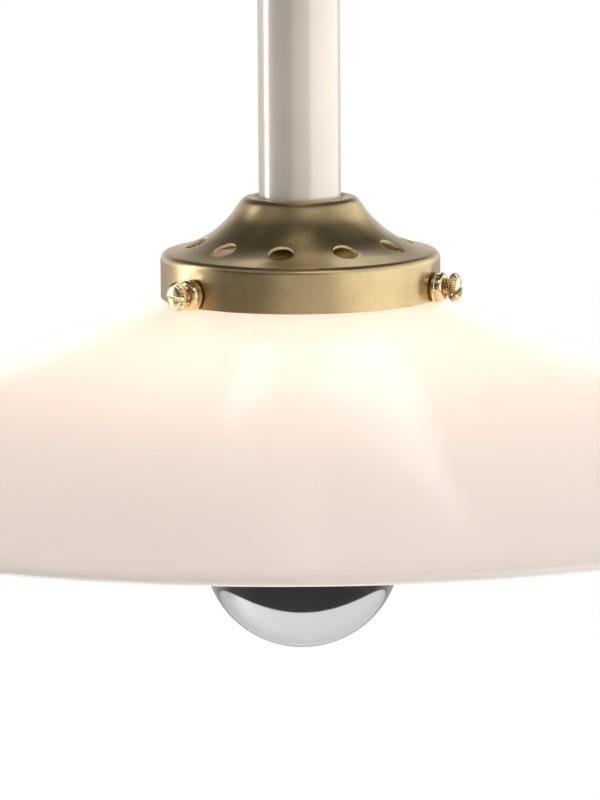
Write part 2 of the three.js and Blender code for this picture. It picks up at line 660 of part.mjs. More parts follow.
// The bulb's outline from its open neck down to its lowest point, moved inwards by a wall.
function bulbOutline(wall) {
  const cutR = BULB_R * Math.cos(radians(BULB_CUT));
  const cutZ = BULB_Z + BULB_R * Math.sin(radians(BULB_CUT));
  const neckZ = CAP_BOTTOM + 4;
  const width = cutR - BULB_NECK_R;
  const height = cutZ - CAP_BOTTOM;
  const knots = [[0, 0.01], [0.1, 0.1], [0.2, 0.32], [0.33, 0.54], [0.58, 0.77], [1, 1]].map(
    ([across, down]) => new THREE.Vector2(BULB_NECK_R + across * width, CAP_BOTTOM + down * height),
  );
  const neck = new THREE.SplineCurve(knots).getPoints(6).map((p) => [p.x, p.y]);
  const globe = arc(0, BULB_Z, BULB_R, BULB_CUT, -90, 9).slice(1);
  const skin = [[BULB_NECK_R, neckZ], ...neck, ...globe];
  if (!wall) return skin;
  const inner = inset(skin, -wall).slice(0, -1);
  return [[inner[0][0], neckZ], ...inner.slice(1), [0, BULB_Z - BULB_R + wall]];
}

function bulb() {
  const glass = [...bulbOutline(0), ...bulbOutline(BULB_T).reverse()];
  glass[bulbOutline(0).length - 1] = [0, BULB_Z - BULB_R];
  place(lower, "bulb_glass", turned(glass, ROUND), CLEAR_GLASS);

  const silverR = BULB_R - BULB_T - GAP;
  const outside = arc(0, BULB_Z, silverR, MIRROR_LATITUDE, -90, 7).slice(0, -1);
  const inside = arc(0, BULB_Z, silverR - MIRROR_T, MIRROR_LATITUDE, -90, 7).slice(0, -1);
  const silver = [...outside, [0, BULB_Z - silverR], [0, BULB_Z - silverR + MIRROR_T], ...inside.reverse()];
  place(lower, "bulb_mirror", turned(silver, ROUND), MIRROR);

  const shell = [[CAP_R - 1.4, CAP_TOP], [CAP_R, CAP_TOP - 1.2], [CAP_R, CAP_BOTTOM]];
  shell.push([CAP_R - CAP_T, CAP_BOTTOM], [CAP_R - CAP_T, CAP_TOP - 1.4], [CAP_R - 1.9, CAP_TOP - 0.4]);
  place(lower, "bulb_cap_shell", turned(shell, COARSE), NICKEL);
  const contactBase = CONTACT_TOP - CONTACT_H;
  const contact = [[0, CONTACT_TOP], [CONTACT_R - 1.2, CONTACT_TOP], [CONTACT_R, contactBase + 0.5]];
  contact.push([CONTACT_R, contactBase], [0, contactBase]);
  place(lower, "bulb_contact", turned(contact, COARSE), NICKEL);
  const high = contactBase - GAP;
  const low = CAP_TOP + GAP;
  const insulator = [[0, high], [CONTACT_R + 0.3, high], [CAP_R - 1.6, low], [0, low]];
  place(lower, "bulb_insulator", turned(insulator, COARSE), PHENOLIC);
}

function filaments() {
  const top = CAP_BOTTOM + 3;
  const rodEnd = BULB_Z + 0.35 * BULB_R + FILAMENT_L / 2;
  const flareR = BULB_NECK_R - BULB_T - 0.6;
  const mount = [[0, top], [flareR, top], [flareR, top - 1.2], [STEM_PRESS_R, top - 6]];
  mount.push([STEM_PRESS_R, top - 12], [ROD_R, rodEnd + 2], [ROD_R, rodEnd - FILAMENT_L]);
  mount.push([0, rodEnd - FILAMENT_L]);
  place(lower, "bulb_mount", turned(mount, COARSE / 2), CLEAR_GLASS);
  for (let i = 0; i < FILAMENT_COUNT; i++) {
    const stick = disc(FILAMENT_R, rodEnd - FILAMENT_L + 1, rodEnd - 1, 8);
    stick.translate(FILAMENT_REACH, 0, 0);
    const turn = radians(45 + (360 * i) / FILAMENT_COUNT);
    place(lower, "filament_" + (i + 1), stick.rotateZ(turn), FILAMENT);
  }
  const upper = rodEnd - 1 + GAP;
  const lowest = rodEnd - FILAMENT_L + 0.1;
  [["filament_wire_upper", upper], ["filament_wire_lower", lowest]].forEach(([name, low]) => {
    const support = ring(ROD_R + GAP, FILAMENT_REACH + FILAMENT_R, low, low + SUPPORT_T, COARSE / 2);
    place(lower, name, support, NICKEL);
  });
}

// ---------- assembly ----------

ceilingPlate();
yoke();
topNipple();
terminalBlock();
canopy();
stem();
wires();
gallery();
shadeScrews();
shade();
lampholder();
bulb();
filaments();

export default lamp;
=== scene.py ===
import math

import bpy
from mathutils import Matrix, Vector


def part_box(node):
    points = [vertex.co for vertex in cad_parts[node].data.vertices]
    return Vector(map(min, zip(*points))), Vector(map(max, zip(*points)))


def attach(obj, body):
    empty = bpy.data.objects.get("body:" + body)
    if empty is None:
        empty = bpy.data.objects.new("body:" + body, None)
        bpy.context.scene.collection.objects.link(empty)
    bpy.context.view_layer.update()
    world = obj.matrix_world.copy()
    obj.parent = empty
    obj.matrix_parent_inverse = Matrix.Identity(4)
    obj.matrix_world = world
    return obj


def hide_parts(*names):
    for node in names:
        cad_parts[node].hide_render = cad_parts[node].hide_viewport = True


bl_info = {
    "name": "Opal Pendant Light",
    "version": (1, 0, 0),
    "blender": (4, 5, 0),
    "location": "3D Viewport > Sidebar > Pendant",
    "description": "Builds a pendant light of opal glass, spun brass and lacquered tube",
    "category": "Add Mesh",
}

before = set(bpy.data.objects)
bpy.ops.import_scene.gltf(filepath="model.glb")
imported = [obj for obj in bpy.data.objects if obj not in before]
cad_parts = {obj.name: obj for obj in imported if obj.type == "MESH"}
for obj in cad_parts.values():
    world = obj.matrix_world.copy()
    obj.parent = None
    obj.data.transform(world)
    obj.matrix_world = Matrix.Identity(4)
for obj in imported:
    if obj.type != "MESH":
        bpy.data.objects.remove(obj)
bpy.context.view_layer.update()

MM = 0.001
PITCH_E27 = 3.629 * MM


def low(node):
    """The lowest corner of a CAD node's box."""
    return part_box(node)[0]


def high(node):
    """The highest corner of a CAD node's box."""
    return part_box(node)[1]


RIM_Z = low("gallery")[2]
RING_R = high("gallery")[0]
STEM_R = high("stem_tube")[0]
SHADE_R = high("shade")[0]
BULB_R = high("bulb_glass")[0]
SCREW_Z = (low("thumbscrew_1")[2] + high("thumbscrew_1")[2]) / 2


def rad(degrees):
    return math.radians(degrees)


# ---------- sizes and colours a user may change ----------


def length(name, description, default):
    return bpy.props.FloatProperty(
        name=name, description=description, default=default, min=0.0, unit="LENGTH", precision=5
    )


def colour(name, description, default):
    return bpy.props.FloatVectorProperty(
        name=name, description=description, default=default, size=3, min=0, max=1, subtype="COLOR"
    )


class PendantSizes(bpy.types.PropertyGroup):
    """Sizes of the pendant, taken from the CAD model where it gives them."""

    stem_radius: length("Stem Radius", "Outside radius of the lacquered tube", STEM_R)
    ring_radius: length("Ring Radius", "Outside radius of the gallery's band", RING_R)
    ring_wall: length("Gallery Wall", "Sheet thickness of the gallery", 0.9 * MM)
    gallery_height: length("Gallery Height", "From its lower edge to its rolled edge", 31 * MM)
    band_height: length("Band Height", "Straight part of the gallery's band", 11.6 * MM)
    vent_radius: length("Vent Radius", "Radius of each round vent", 4 * MM)
    shade_radius: length("Shade Radius", "Outside radius of the glass cone", SHADE_R)
    shade_wall: length("Shade Wall", "Thickness of the opal glass", 3 * MM)
    bulb_radius: length("Bulb Radius", "Radius of the round part of the bulb", BULB_R)
    head_radius: length("Thumbscrew Radius", "Radius of the knurled heads", 4.5 * MM)
    boss_radius: length("Boss Radius", "Radius of the collars that the thumbscrews run in", 4.7 * MM)


class PendantColours(bpy.types.PropertyGroup):
    """Colours of the pendant's finishes."""

    lacquer: colour("Lacquer", "Stem and canopy", (0.86, 0.79, 0.70))
    brass: colour("Satin Brass", "Gallery and lampholder cap", (0.54, 0.42, 0.225))
    bright_brass: colour("Polished Brass", "Thumbscrews and bosses", (0.76, 0.62, 0.38))
    opal: colour("Opal Glass", "Shade", (0.94, 0.885, 0.855))
    steel: colour("Zinc Steel", "Hidden fixings", (0.55, 0.56, 0.58))


# ---------- modelling ----------


def deselect():
    """Leaves edit mode and deselects everything."""
    if bpy.context.object and bpy.context.object.mode != "OBJECT":
        bpy.ops.object.mode_set(mode="OBJECT")
    bpy.ops.object.select_all(action="DESELECT")


def take(piece):
    """Makes a piece the only selected one."""
    deselect()
    piece.select_set(True)
    bpy.context.view_layer.objects.active = piece


def arc(centre_r, centre_z, radius, start, end, steps):
    """Points [radius, height] of an arc, angles in degrees from outwards towards upwards."""
    angles = [rad(start + (end - start) * i / steps) for i in range(steps + 1)]
    return [(centre_r + radius * math.cos(a), centre_z + radius * math.sin(a)) for a in angles]


def quarter(start, base, across, rise, step, count):
    """Points [radius, height] of a quarter oval, every so many degrees up from its widest place."""
    angles = [rad(step * i) for i in range(count)]
    return [(start + across * math.cos(a), base + rise * math.sin(a)) for a in angles]


def between(first, last, steps):
    """The points between two others, without them."""
    gaps = [(b - a) / steps for a, b in zip(first, last)]
    return [tuple(a + gap * i for a, gap in zip(first, gaps)) for i in range(1, steps)]


def scaled(outline, lift=0.0):
    """An outline given in millimetres, in metres and lifted by a height."""
    return [(r * MM, z * MM + lift) for r, z in outline]


def turned(name, outline, sides=96, crease=35):
    """Builds a turned piece: a circle is extruded and scaled from each outline point to the next."""
    filled = outline[0][0] == 0
    points = outline[1:] if filled else outline
    radius, height = points[0]
    deselect()
    fill = "TRIFAN" if filled else "NOTHING"
    bpy.ops.mesh.primitive_circle_add(vertices=sides, radius=radius, fill_type=fill, location=(0, 0, height))
    piece = bpy.context.object
    piece.name = name
    bpy.ops.object.transform_apply()
    bpy.ops.object.mode_set(mode="EDIT")
    for next_radius, next_height in points[1:]:
        rise = (0, 0, next_height - height)
        bpy.ops.mesh.extrude_region_move(TRANSFORM_OT_translate={"value": rise})
        if next_radius == 0:
            bpy.ops.mesh.merge(type="CENTER")
            break
        grow = next_radius / radius
        bpy.ops.transform.resize(value=(grow, grow, 1), center_override=(0, 0, next_height))
        radius, height = next_radius, next_height
    close_up()
    smooth(piece, crease)
    return piece


def close_up():
    """Merges doubled points, turns every face outwards and leaves edit mode."""
    bpy.ops.mesh.select_all(action="SELECT")
    bpy.ops.mesh.remove_doubles(threshold=1e-6)
    bpy.ops.mesh.normals_make_consistent(inside=False)
    bpy.ops.object.mode_set(mode="OBJECT")


def smooth(piece, crease=35):
    """Shades a piece smooth, but for edges sharper than the crease angle."""
    take(piece)
    bpy.ops.object.shade_smooth_by_angle(angle=rad(crease))


def modify(piece, kind, **settings):
    """Adds a modifier, sets it and applies it."""
    take(piece)
    modifier = piece.modifiers.new(kind.title(), kind)
    for key, value in settings.items():
        setattr(modifier, key, value)
    bpy.ops.object.modifier_apply(modifier=modifier.name)


def bevel(piece, width, segments=3, angle=30, finish=-1):
    """Rounds a piece's edges; finish is the material slot of the rounding, or -1 to keep its own."""
    settings = {"width": width, "segments": segments, "limit_method": "ANGLE", "angle_limit": rad(angle)}
    modify(piece, "BEVEL", material=finish, **settings)


def cut(piece, tool):
    """Takes a tool's shape out of a piece, with the tool's material on the cut faces if it has one."""
    keep = "TRANSFER" if tool.data.materials else "INDEX"
    modify(piece, "BOOLEAN", operation="DIFFERENCE", solver="EXACT", object=tool, material_mode=keep)
    bpy.data.objects.remove(tool)


def stand(piece, location=(0, 0, 0), rotation=(0, 0, 0), order="XYZ"):
    """Puts a piece made at the origin in its place and writes the place into its mesh."""
    take(piece)
    piece.rotation_mode = order
    piece.location = location
    piece.rotation_euler = rotation
    bpy.ops.object.transform_apply(location=True, rotation=True, scale=True)
    return piece


def copied(piece, name):
    """A copy of a piece with its own mesh."""
    twin = piece.copy()
    twin.data = piece.data.copy()
    twin.name = name
    bpy.context.scene.collection.objects.link(twin)
    return twin


def joined(name, pieces):
    """Makes one piece of several."""
    deselect()
    for piece in pieces:
        piece.select_set(True)
    bpy.context.view_layer.objects.active = pieces[0]
    if len(pieces) > 1:
        bpy.ops.object.join()
    pieces[0].name = name
    return pieces[0]


def select_points(piece, test):
    """Selects the mesh points that a test picks, in edit mode."""
    take(piece)
    bpy.ops.object.mode_set(mode="EDIT")
    bpy.ops.mesh.select_all(action="DESELECT")
    bpy.ops.object.mode_set(mode="OBJECT")
    for point in piece.data.vertices:
        point.select = test(point.co)
    bpy.ops.object.mode_set(mode="EDIT")


def settle(piece, material, body, slot, *nodes):
    """Gives a finished piece its material and its body and hides the CAD nodes it stands for; the slot is not
    used.
    """
    if material:
        piece.data.materials.clear()
        piece.data.materials.append(material)
    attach(piece, body)
    if nodes:
        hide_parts(*nodes)
    return piece


def traced(name, outline, low_y, high_y):
    """Draws an outline of (x, z) points, fills it and extrudes it along Y."""
    deselect()
    bpy.ops.mesh.primitive_plane_add(size=0.01)
    piece = bpy.context.object
    piece.name = name
    bpy.ops.object.mode_set(mode="EDIT")
    bpy.ops.mesh.merge(type="CENTER")
    x, z = outline[0]
    bpy.ops.transform.translate(value=(x, low_y, z))
    for next_x, next_z in outline[1:]:
        step = (next_x - x, 0, next_z - z)
        bpy.ops.mesh.extrude_region_move(TRANSFORM_OT_translate={"value": step})
        x, z = next_x, next_z
    bpy.ops.mesh.select_all(action="SELECT")
    bpy.ops.mesh.edge_face_add()
    bpy.ops.mesh.extrude_region_move(TRANSFORM_OT_translate={"value": (0, high_y - low_y, 0)})
    close_up()
    return piece


def block(name, size, place, edge):
    """A box with rounded edges."""
    deselect()
    bpy.ops.mesh.primitive_cube_add(size=1)
    piece = bpy.context.object
    piece.name = name
    piece.scale = size
    stand(piece, place)
    bevel(piece, edge, 3)
    smooth(piece)
    return piece


def hex_nut(name, flats, bore, bottom, top):
    """A nut with turned corners and a countersunk bore, in millimetres."""
    corner = flats / 2 / math.cos(rad(30))
    points = [(corner * math.cos(rad(60 * k)), corner * math.sin(rad(60 * k))) for k in range(6)]
    nut = traced(name, scaled(points), bottom * MM, top * MM)
    stand(nut, rotation=(rad(90), 0, 0))
    face = flats / 2 - 0.2
    outline = [(0, bottom), (face, bottom), (corner + 0.5, bottom + 0.9), (corner + 0.5, top - 0.9)]
    cone = turned("nut_cone", scaled([*outline, (face, top), (0, top)]), 48)
    modify(nut, "BOOLEAN", operation="INTERSECT", solver="EXACT", object=cone)
    bpy.data.objects.remove(cone)
    wide = bore + 0.5
    drill = [(0, bottom - 1), (wide, bottom - 1), (wide, bottom), (bore, bottom + 0.5), (bore, top - 0.5)]
    cut(nut, turned("nut_drill", scaled([*drill, (wide, top), (wide, top + 1), (0, top + 1)]), 48))
    smooth(nut, 25)
    return nut


def slotted_screw(name, head, shank, seat, tip, place=(0, 0), slot=1.0, height=None):
    """A pan-head screw along Z: its head is beyond its seat, away from its tip."""
    away = 1 if seat > tip else -1
    height = height or head * 0.6
    top = seat + away * height
    dome = arc(head * 0.55, height * 0.45, head * 0.45, 60, 0, 6)
    outline = [(0, top), (head * 0.45, top), *[(r, seat + away * h) for r, h in dome if h <= height]]
    outline += [(head, seat), (shank, seat), *threaded(shank, 0.25, seat - away * 0.4, tip + away * 0.4, 0.8)]
    screw = turned(name, scaled([*outline, (0, tip)]), 40, 28)
    tool = block("slot_tool", (head * 2.6 * MM, slot * MM, height * MM), (0, 0, top * MM), 0.02 * MM)
    cut(screw, tool)
    smooth(screw, 25)
    return stand(screw, (place[0] * MM, place[1] * MM, 0))


def drill(radius, bottom, top, x=0.0, y=0.0, sides=48):
    """An upright cutter between two heights, in millimetres."""
    deselect()
    depth = (top - bottom) * MM
    bpy.ops.mesh.primitive_cylinder_add(vertices=sides, radius=radius * MM, depth=depth)
    return stand(bpy.context.object, (x * MM, y * MM, (bottom + top) / 2 * MM))


def heights(node):
    """Lowest and highest point of a CAD node, in millimetres."""
    return low(node)[2] / MM, high(node)[2] / MM


def screw_skin(name, radius, depth, pitch, turns, sides=72):
    """The skin of a rounded thread, one pitch drawn and turned up a helix, from its start at z = 0."""
    deselect()
    bpy.ops.mesh.primitive_plane_add(size=0.01)
    piece = bpy.context.object
    piece.name = name
    bpy.ops.object.mode_set(mode="EDIT")
    bpy.ops.mesh.merge(type="CENTER")
    steps = 12
    middle = radius - depth / 2
    wave = []
    for i in range(steps + 1):
        wave.append((middle + depth / 2 * math.cos(math.tau * i / steps), pitch * i / steps))
    bpy.ops.transform.translate(value=(wave[0][0], 0, 0))
    for (r0, z0), (r1, z1) in zip(wave, wave[1:]):
        bpy.ops.mesh.extrude_region_move(TRANSFORM_OT_translate={"value": (r1 - r0, 0, z1 - z0)})
    bpy.ops.object.mode_set(mode="OBJECT")
    settings = {"axis": "Z", "angle": math.tau, "screw_offset": pitch, "iterations": turns}
    settings.update(steps=sides, render_steps=sides)
    modify(piece, "SCREW", **settings)
    take(piece)
    bpy.ops.object.mode_set(mode="EDIT")
    bpy.ops.mesh.select_all(action="SELECT")
    bpy.ops.mesh.remove_doubles(threshold=1e-6)
    bpy.ops.object.mode_set(mode="OBJECT")
    return piece


RIM_LAP = 0.05


def threaded_sleeve(name, radius, depth, top_rim, bottom_rim, bottom, top, wall, sides=72):
    """A pressed sleeve, in millimetres: a threaded middle and two plain rims that lap into it."""
    turns = math.ceil((top - bottom) * MM / PITCH_E27) + 2
    skin = screw_skin(name, radius * MM, depth * MM, PITCH_E27, turns, sides)
    stand(skin, (0, 0, top * MM - (turns - 1) * PITCH_E27))
    trim(skin, top * MM, True)
    trim(skin, bottom * MM, False)
    outer, inner = radius + 0.02, radius - depth - RIM_LAP
    step = [(outer, top - RIM_LAP), (inner, top - RIM_LAP)]
    foot = [(inner, bottom + RIM_LAP), (outer, bottom + RIM_LAP)]
    ends = [turned("rim", scaled(rim), sides) for rim in (top_rim + step, foot + bottom_rim)]
    piece = joined(name, [skin, *ends])
    take(piece)
    bpy.ops.object.mode_set(mode="EDIT")
    close_up()
    modify(piece, "SOLIDIFY", thickness=wall * MM, offset=-1)
    smooth(piece, 40)
    return piece


def trim(piece, height, keep_below):
    """Cuts a skin level at a height and throws one side away."""
    take(piece)
    bpy.ops.object.mode_set(mode="EDIT")
    bpy.ops.mesh.select_all(action="SELECT")
    sides = {"clear_outer": keep_below, "clear_inner": not keep_below}
    bpy.ops.mesh.bisect(plane_co=(0, 0, height), plane_no=(0, 0, 1), **sides)
    bpy.ops.object.mode_set(mode="OBJECT")


def wire_tube(name, points, radius, steps=8):
    """A round wire along a smooth route, as a closed mesh."""
    padded = [points[0], *points, points[-1]]
    route = []
    for a, b, c, d in zip(padded, padded[1:], padded[2:], padded[3:]):
        route += [tuple(catmull(a[k], b[k], c[k], d[k], i / steps) for k in range(3)) for i in range(steps)]
    route.append(tuple(points[-1]))
    curve = bpy.data.curves.new(name, "CURVE")
    curve.dimensions = "3D"
    curve.bevel_depth = radius
    curve.bevel_resolution = 4
    curve.use_fill_caps = True
    spline_of = curve.splines.new("POLY")
    spline_of.points.add(len(route) - 1)
    for point, place in zip(spline_of.points, route):
        point.co = (*place, 1)
    piece = bpy.data.objects.new(name, curve)
    bpy.context.scene.collection.objects.link(piece)
    take(piece)
    bpy.ops.object.convert(target="MESH")
    smooth(piece, 60)
    return piece


# ---------- material nodes ----------


class Recipe:
    """A material and short ways to add nodes to it."""

    def __init__(self, name, **sockets):
        self.material = bpy.data.materials.new(name)
        self.material.use_nodes = True
        self.tree = self.material.node_tree
        self.shader = self.tree.nodes["Principled BSDF"]
        for key, value in sockets.items():
            socket = self.shader.inputs[key.replace("_", " ")]
            socket.default_value = (*value, 1) if hasattr(value, "__len__") else value
        self.place = self.add("ShaderNodeTexCoord").outputs["Object"]

    def add(self, kind, settings=None, **inputs):
        node = self.tree.nodes.new(kind)
        for key, value in (settings or {}).items():
            setattr(node, key, value)
        for key, value in inputs.items():
            self.feed(node.inputs[key.replace("_", " ")], value)
        return node

    def feed(self, socket, value):
        if isinstance(value, bpy.types.NodeSocket):
            self.tree.links.new(value, socket)
        else:
            socket.default_value = value

    def maths(self, operation, first, second=0.0):
        node = self.add("ShaderNodeMath", {"operation": operation})
        self.feed(node.inputs[0], first)
        self.feed(node.inputs[1], second)
        return node.outputs[0]

    def noise(self, scale, detail=3.0, place=None, roughness=0.5):
        place = place or self.place
        node = self.add("ShaderNodeTexNoise", Vector=place, Scale=scale, Detail=detail, Roughness=roughness)
        return node.outputs["Fac"]

    def stretched(self, x, y, z):
        """Object coordinates scaled differently along each axis."""
        node = self.add("ShaderNodeMapping", Vector=self.place)
        node.inputs["Scale"].default_value = (x, y, z)
        return node.outputs["Vector"]

    def polar(self, across, around, up):
        """Coordinates that run out from the axis, round it and up it."""
        split = self.add("ShaderNodeSeparateXYZ", Vector=self.place)
        x, y, z = split.outputs
        flat = self.add("ShaderNodeCombineXYZ", X=x, Y=y)
        radius = self.add("ShaderNodeVectorMath", {"operation": "LENGTH"}, Vector=flat.outputs[0])
        angle = self.maths("ARCTAN2", y, x)
        out = self.maths("MULTIPLY", radius.outputs["Value"], across)
        turn = self.maths("MULTIPLY", angle, around)
        rise = self.maths("MULTIPLY", z, up)
        return self.add("ShaderNodeCombineXYZ", X=out, Y=turn, Z=rise).outputs[0]

    def ramp(self, factor, *stops):
        """A colour ramp through (position, colour) stops; a number stands for a grey."""
        node = self.add("ShaderNodeValToRGB", Fac=factor)
        elements = node.color_ramp.elements
        while len(elements) < len(stops):
            elements.new(0.5)
        for element, (position, value) in zip(elements, stops):
            element.position = position
            rgb = value if hasattr(value, "__len__") else (value,) * 3
            element.color = (*rgb, 1)
        return node.outputs["Color"]

    def bump(self, height, strength, distance, after=None):
        node = self.add("ShaderNodeBump", Height=height, Strength=strength, Distance=distance)
        if after:
            self.feed(node.inputs["Normal"], after)
        self.feed(self.shader.inputs["Normal"], node.outputs["Normal"])
        return node.outputs["Normal"]

    def use(self, **links):
        for key, output in links.items():
            self.feed(self.shader.inputs[key.replace("_", " ")], output)
        return self.material


MATERIALS = {}


def once(make):
    """Makes each material the first time it is asked for and hands the same one out after that."""

    def wrapper():
        if make.__name__ not in MATERIALS:
            MATERIALS[make.__name__] = make()
        return MATERIALS[make.__name__]

    return wrapper


def tone(rgb, factor):
    return tuple(min(1.0, c * factor) for c in rgb)


@once
def lacquer():
    base = tuple(bpy.context.scene.pendant_colours.lacquer)
    recipe = Recipe("cream_lacquer", Metallic=0.2, IOR=1.5, Coat_Weight=0.4, Coat_Roughness=0.12)
    cloud = recipe.noise(14, 2)
    tint = recipe.ramp(cloud, (0.3, tone(base, 0.97)), (0.7, tone(base, 1.02)))
    shine = recipe.ramp(recipe.noise(60, 3), (0.3, 0.20), (0.7, 0.26))
    recipe.bump(recipe.noise(900, 2), 0.06, 0.0002)
    return recipe.use(Base_Color=tint, Roughness=shine)


@once
def satin_brass():
    base = tuple(bpy.context.scene.pendant_colours.brass)
    recipe = Recipe("satin_brass", Metallic=1.0)
    lines = recipe.noise(1, 1, recipe.polar(1500, 1.5, 1500))
    cloud = recipe.noise(55, 5, roughness=0.6)
    spots = recipe.noise(900, 2, roughness=0.6)
    tint = recipe.ramp(cloud, (0.3, tone(base, 0.86)), (0.55, base), (0.75, tone(base, 1.12)))
    stain = recipe.ramp(spots, (0.30, (0.70, 0.64, 0.58)), (0.46, (1, 1, 1)))
    mix = recipe.add("ShaderNodeMix", {"data_type": "RGBA", "blend_type": "MULTIPLY"})
    mix.inputs["Factor"].default_value = 0.3
    recipe.feed(mix.inputs[6], tint)
    recipe.feed(mix.inputs[7], stain)
    shine = recipe.ramp(recipe.noise(120, 4), (0.3, 0.27), (0.7, 0.35))
    recipe.bump(lines, 0.10, 0.00008)
    return recipe.use(Base_Color=mix.outputs[2], Roughness=shine)


@once
def bright_brass():
    base = tuple(bpy.context.scene.pendant_colours.bright_brass)
    recipe = Recipe("polished_brass", Metallic=1.0)
    cloud = recipe.noise(260, 4)
    tint = recipe.ramp(cloud, (0.35, tone(base, 0.88)), (0.7, tone(base, 1.08)))
    shine = recipe.ramp(recipe.noise(500, 3), (0.3, 0.12), (0.7, 0.22))
    recipe.bump(recipe.noise(1500, 2), 0.05, 0.0001)
    return recipe.use(Base_Color=tint, Roughness=shine)


# Bright brass lightened 1.5 times for the vent walls and the gallery's edge roundings: a painted highlight
# along the rims.
@once
def painted_rim_highlight():
    base = tone(tuple(bpy.context.scene.pendant_colours.bright_brass), 1.5)
    recipe = Recipe("brass_painted_rim_highlight", Metallic=1.0)
    tint = recipe.ramp(recipe.noise(900, 3), (0.35, tone(base, 0.85)), (0.7, base))
    shine = recipe.ramp(recipe.noise(1300, 2), (0.3, 0.45), (0.7, 0.55))
    return recipe.use(Base_Color=tint, Roughness=shine)


@once
def opal_glass():
    base = tuple(bpy.context.scene.pendant_colours.opal)
    recipe = Recipe("opal_glass", IOR=1.5, Coat_Weight=1.0, Coat_Roughness=0.06)
    recipe.shader.inputs["Subsurface Weight"].default_value = 0.0
    cloud = recipe.noise(7, 3)
    tint = recipe.ramp(cloud, (0.3, tone(base, 0.98)), (0.7, tone(base, 1.02)))
    shine = recipe.ramp(recipe.noise(30, 2), (0.3, 0.14), (0.7, 0.20))
    recipe.bump(recipe.noise(16, 2), 0.04, 0.003)
    recipe.use(Base_Color=tint, Roughness=shine)
    through = recipe.add("ShaderNodeBsdfTranslucent")
    recipe.feed(through.inputs["Color"], tint)
    blend = recipe.add("ShaderNodeMixShader", Fac=0.5)
    recipe.feed(blend.inputs[1], recipe.shader.outputs[0])
    recipe.feed(blend.inputs[2], through.outputs[0])
    out = recipe.tree.nodes["Material Output"]
    recipe.feed(out.inputs["Surface"], blend.outputs[0])
    return recipe.material


@once
def clear_glass():
    recipe = Recipe("clear_glass", Base_Color=(0.98, 0.99, 0.99), IOR=1.5)
    recipe.shader.inputs["Transmission Weight"].default_value = 1.0
    shine = recipe.ramp(recipe.noise(40, 2), (0.3, 0.0), (0.7, 0.012))
    recipe.use(Roughness=shine)
    path = recipe.add("ShaderNodeLightPath")
    through = recipe.add("ShaderNodeBsdfTransparent")
    through.inputs["Color"].default_value = (0.96, 0.97, 0.97, 1)
    blend = recipe.add("ShaderNodeMixShader", Fac=path.outputs["Is Shadow Ray"])
    recipe.feed(blend.inputs[1], recipe.shader.outputs[0])
    recipe.feed(blend.inputs[2], through.outputs[0])
    recipe.feed(recipe.tree.nodes["Material Output"].inputs["Surface"], blend.outputs[0])
    return recipe.material


@once
def silvering():
    recipe = Recipe("mirror_silver", Metallic=1.0)
    tint = recipe.ramp(recipe.noise(18, 4), (0.3, (0.80, 0.80, 0.82)), (0.7, (0.90, 0.89, 0.90)))
    shine = recipe.ramp(recipe.noise(60, 3), (0.3, 0.02), (0.7, 0.05))
    recipe.bump(recipe.noise(22, 2), 0.03, 0.002)
    return recipe.use(Base_Color=tint, Roughness=shine)


def plain(name, base, shine, metal=0.0, grain=400.0, depth=0.08, vary=0.1):
    """A simple finish with a little variation in colour and gloss and a fine grain."""
    recipe = Recipe(name, Metallic=metal)
    tint = recipe.ramp(recipe.noise(grain / 5), (0.3, tone(base, 1 - vary)), (0.7, tone(base, 1 + vary)))
    gloss = recipe.ramp(recipe.noise(grain / 3), (0.3, shine * 0.8), (0.7, shine * 1.2))
    recipe.bump(recipe.noise(grain), depth, 0.0003)
    return recipe.use(Base_Color=tint, Roughness=gloss)


@once
def zinc_steel():
    return plain("zinc_steel", tuple(bpy.context.scene.pendant_colours.steel), 0.35, 1.0, 700)


@once
def nickel():
    return plain("nickel_plate", (0.62, 0.60, 0.55), 0.22, 1.0, 900)


@once
def phenolic():
    return plain("black_phenolic", (0.018, 0.016, 0.015), 0.35, 0.0, 500)


@once
def black_glass():
    return plain("black_glass", (0.01, 0.01, 0.012), 0.08, 0.0, 300, 0.03)


@once
def porcelain():
    return plain("porcelain", (0.80, 0.78, 0.73), 0.12, 0.0, 200, 0.05, 0.03)


@once
def nylon():
    return plain("white_nylon", (0.74, 0.71, 0.64), 0.45, 0.0, 900)


@once
def phosphor():
    return plain("filament_coating", (0.80, 0.46, 0.08), 0.5, 0.0, 1500)


@once
def brown_wire():
    return plain("brown_insulation", (0.10, 0.035, 0.015), 0.4, 0.0, 800)


@once
def blue_wire():
    return plain("blue_insulation", (0.02, 0.07, 0.30), 0.4, 0.0, 800)


@once
def green_wire():
    """Green insulation with a yellow stripe down one side."""
    recipe = Recipe("green_insulation", Roughness=0.4)
    split = recipe.add("ShaderNodeSeparateXYZ", Vector=recipe.place)
    stripe = recipe.maths("SINE", recipe.maths("MULTIPLY", split.outputs["X"], 1900))
    recipe.bump(recipe.noise(800), 0.06, 0.0003)
    return recipe.use(Base_Color=recipe.ramp(stripe, (0.4, (0.04, 0.20, 0.03)), (0.6, (0.70, 0.55, 0.05))))


# ---------- stem ----------


def smooth_tube(name, bore, outer, bottom, top, sides=128, edge=0.35 * MM):
    """A tube with softened ends."""
    outline = [(bore, bottom + edge), (bore + edge, bottom), (outer - edge, bottom)]
    outline += [(outer, bottom + edge), (outer, top - edge), (outer - edge, top)]
    outline += [(bore + edge, top), (bore, top - edge), (bore, bottom + edge)]
    return turned(name, outline, sides)


class PENDANT_OT_stem(bpy.types.Operator):
    """Adds the lacquered stem"""

    bl_idname = "pendant.stem"
    bl_label = "Stem"

    def execute(self, context):
        sizes = context.scene.pendant_sizes
        bottom, top = low("stem_tube")[2], high("stem_tube")[2]
        bore = high("stem_top_plug")[0] + 0.3 * MM
        tube = smooth_tube("stem", bore, sizes.stem_radius, bottom, top)
        settle(tube, lacquer(), "fixture", "cream_lacquer", "stem_tube")
        return {"FINISHED"}


# ---------- gallery ----------

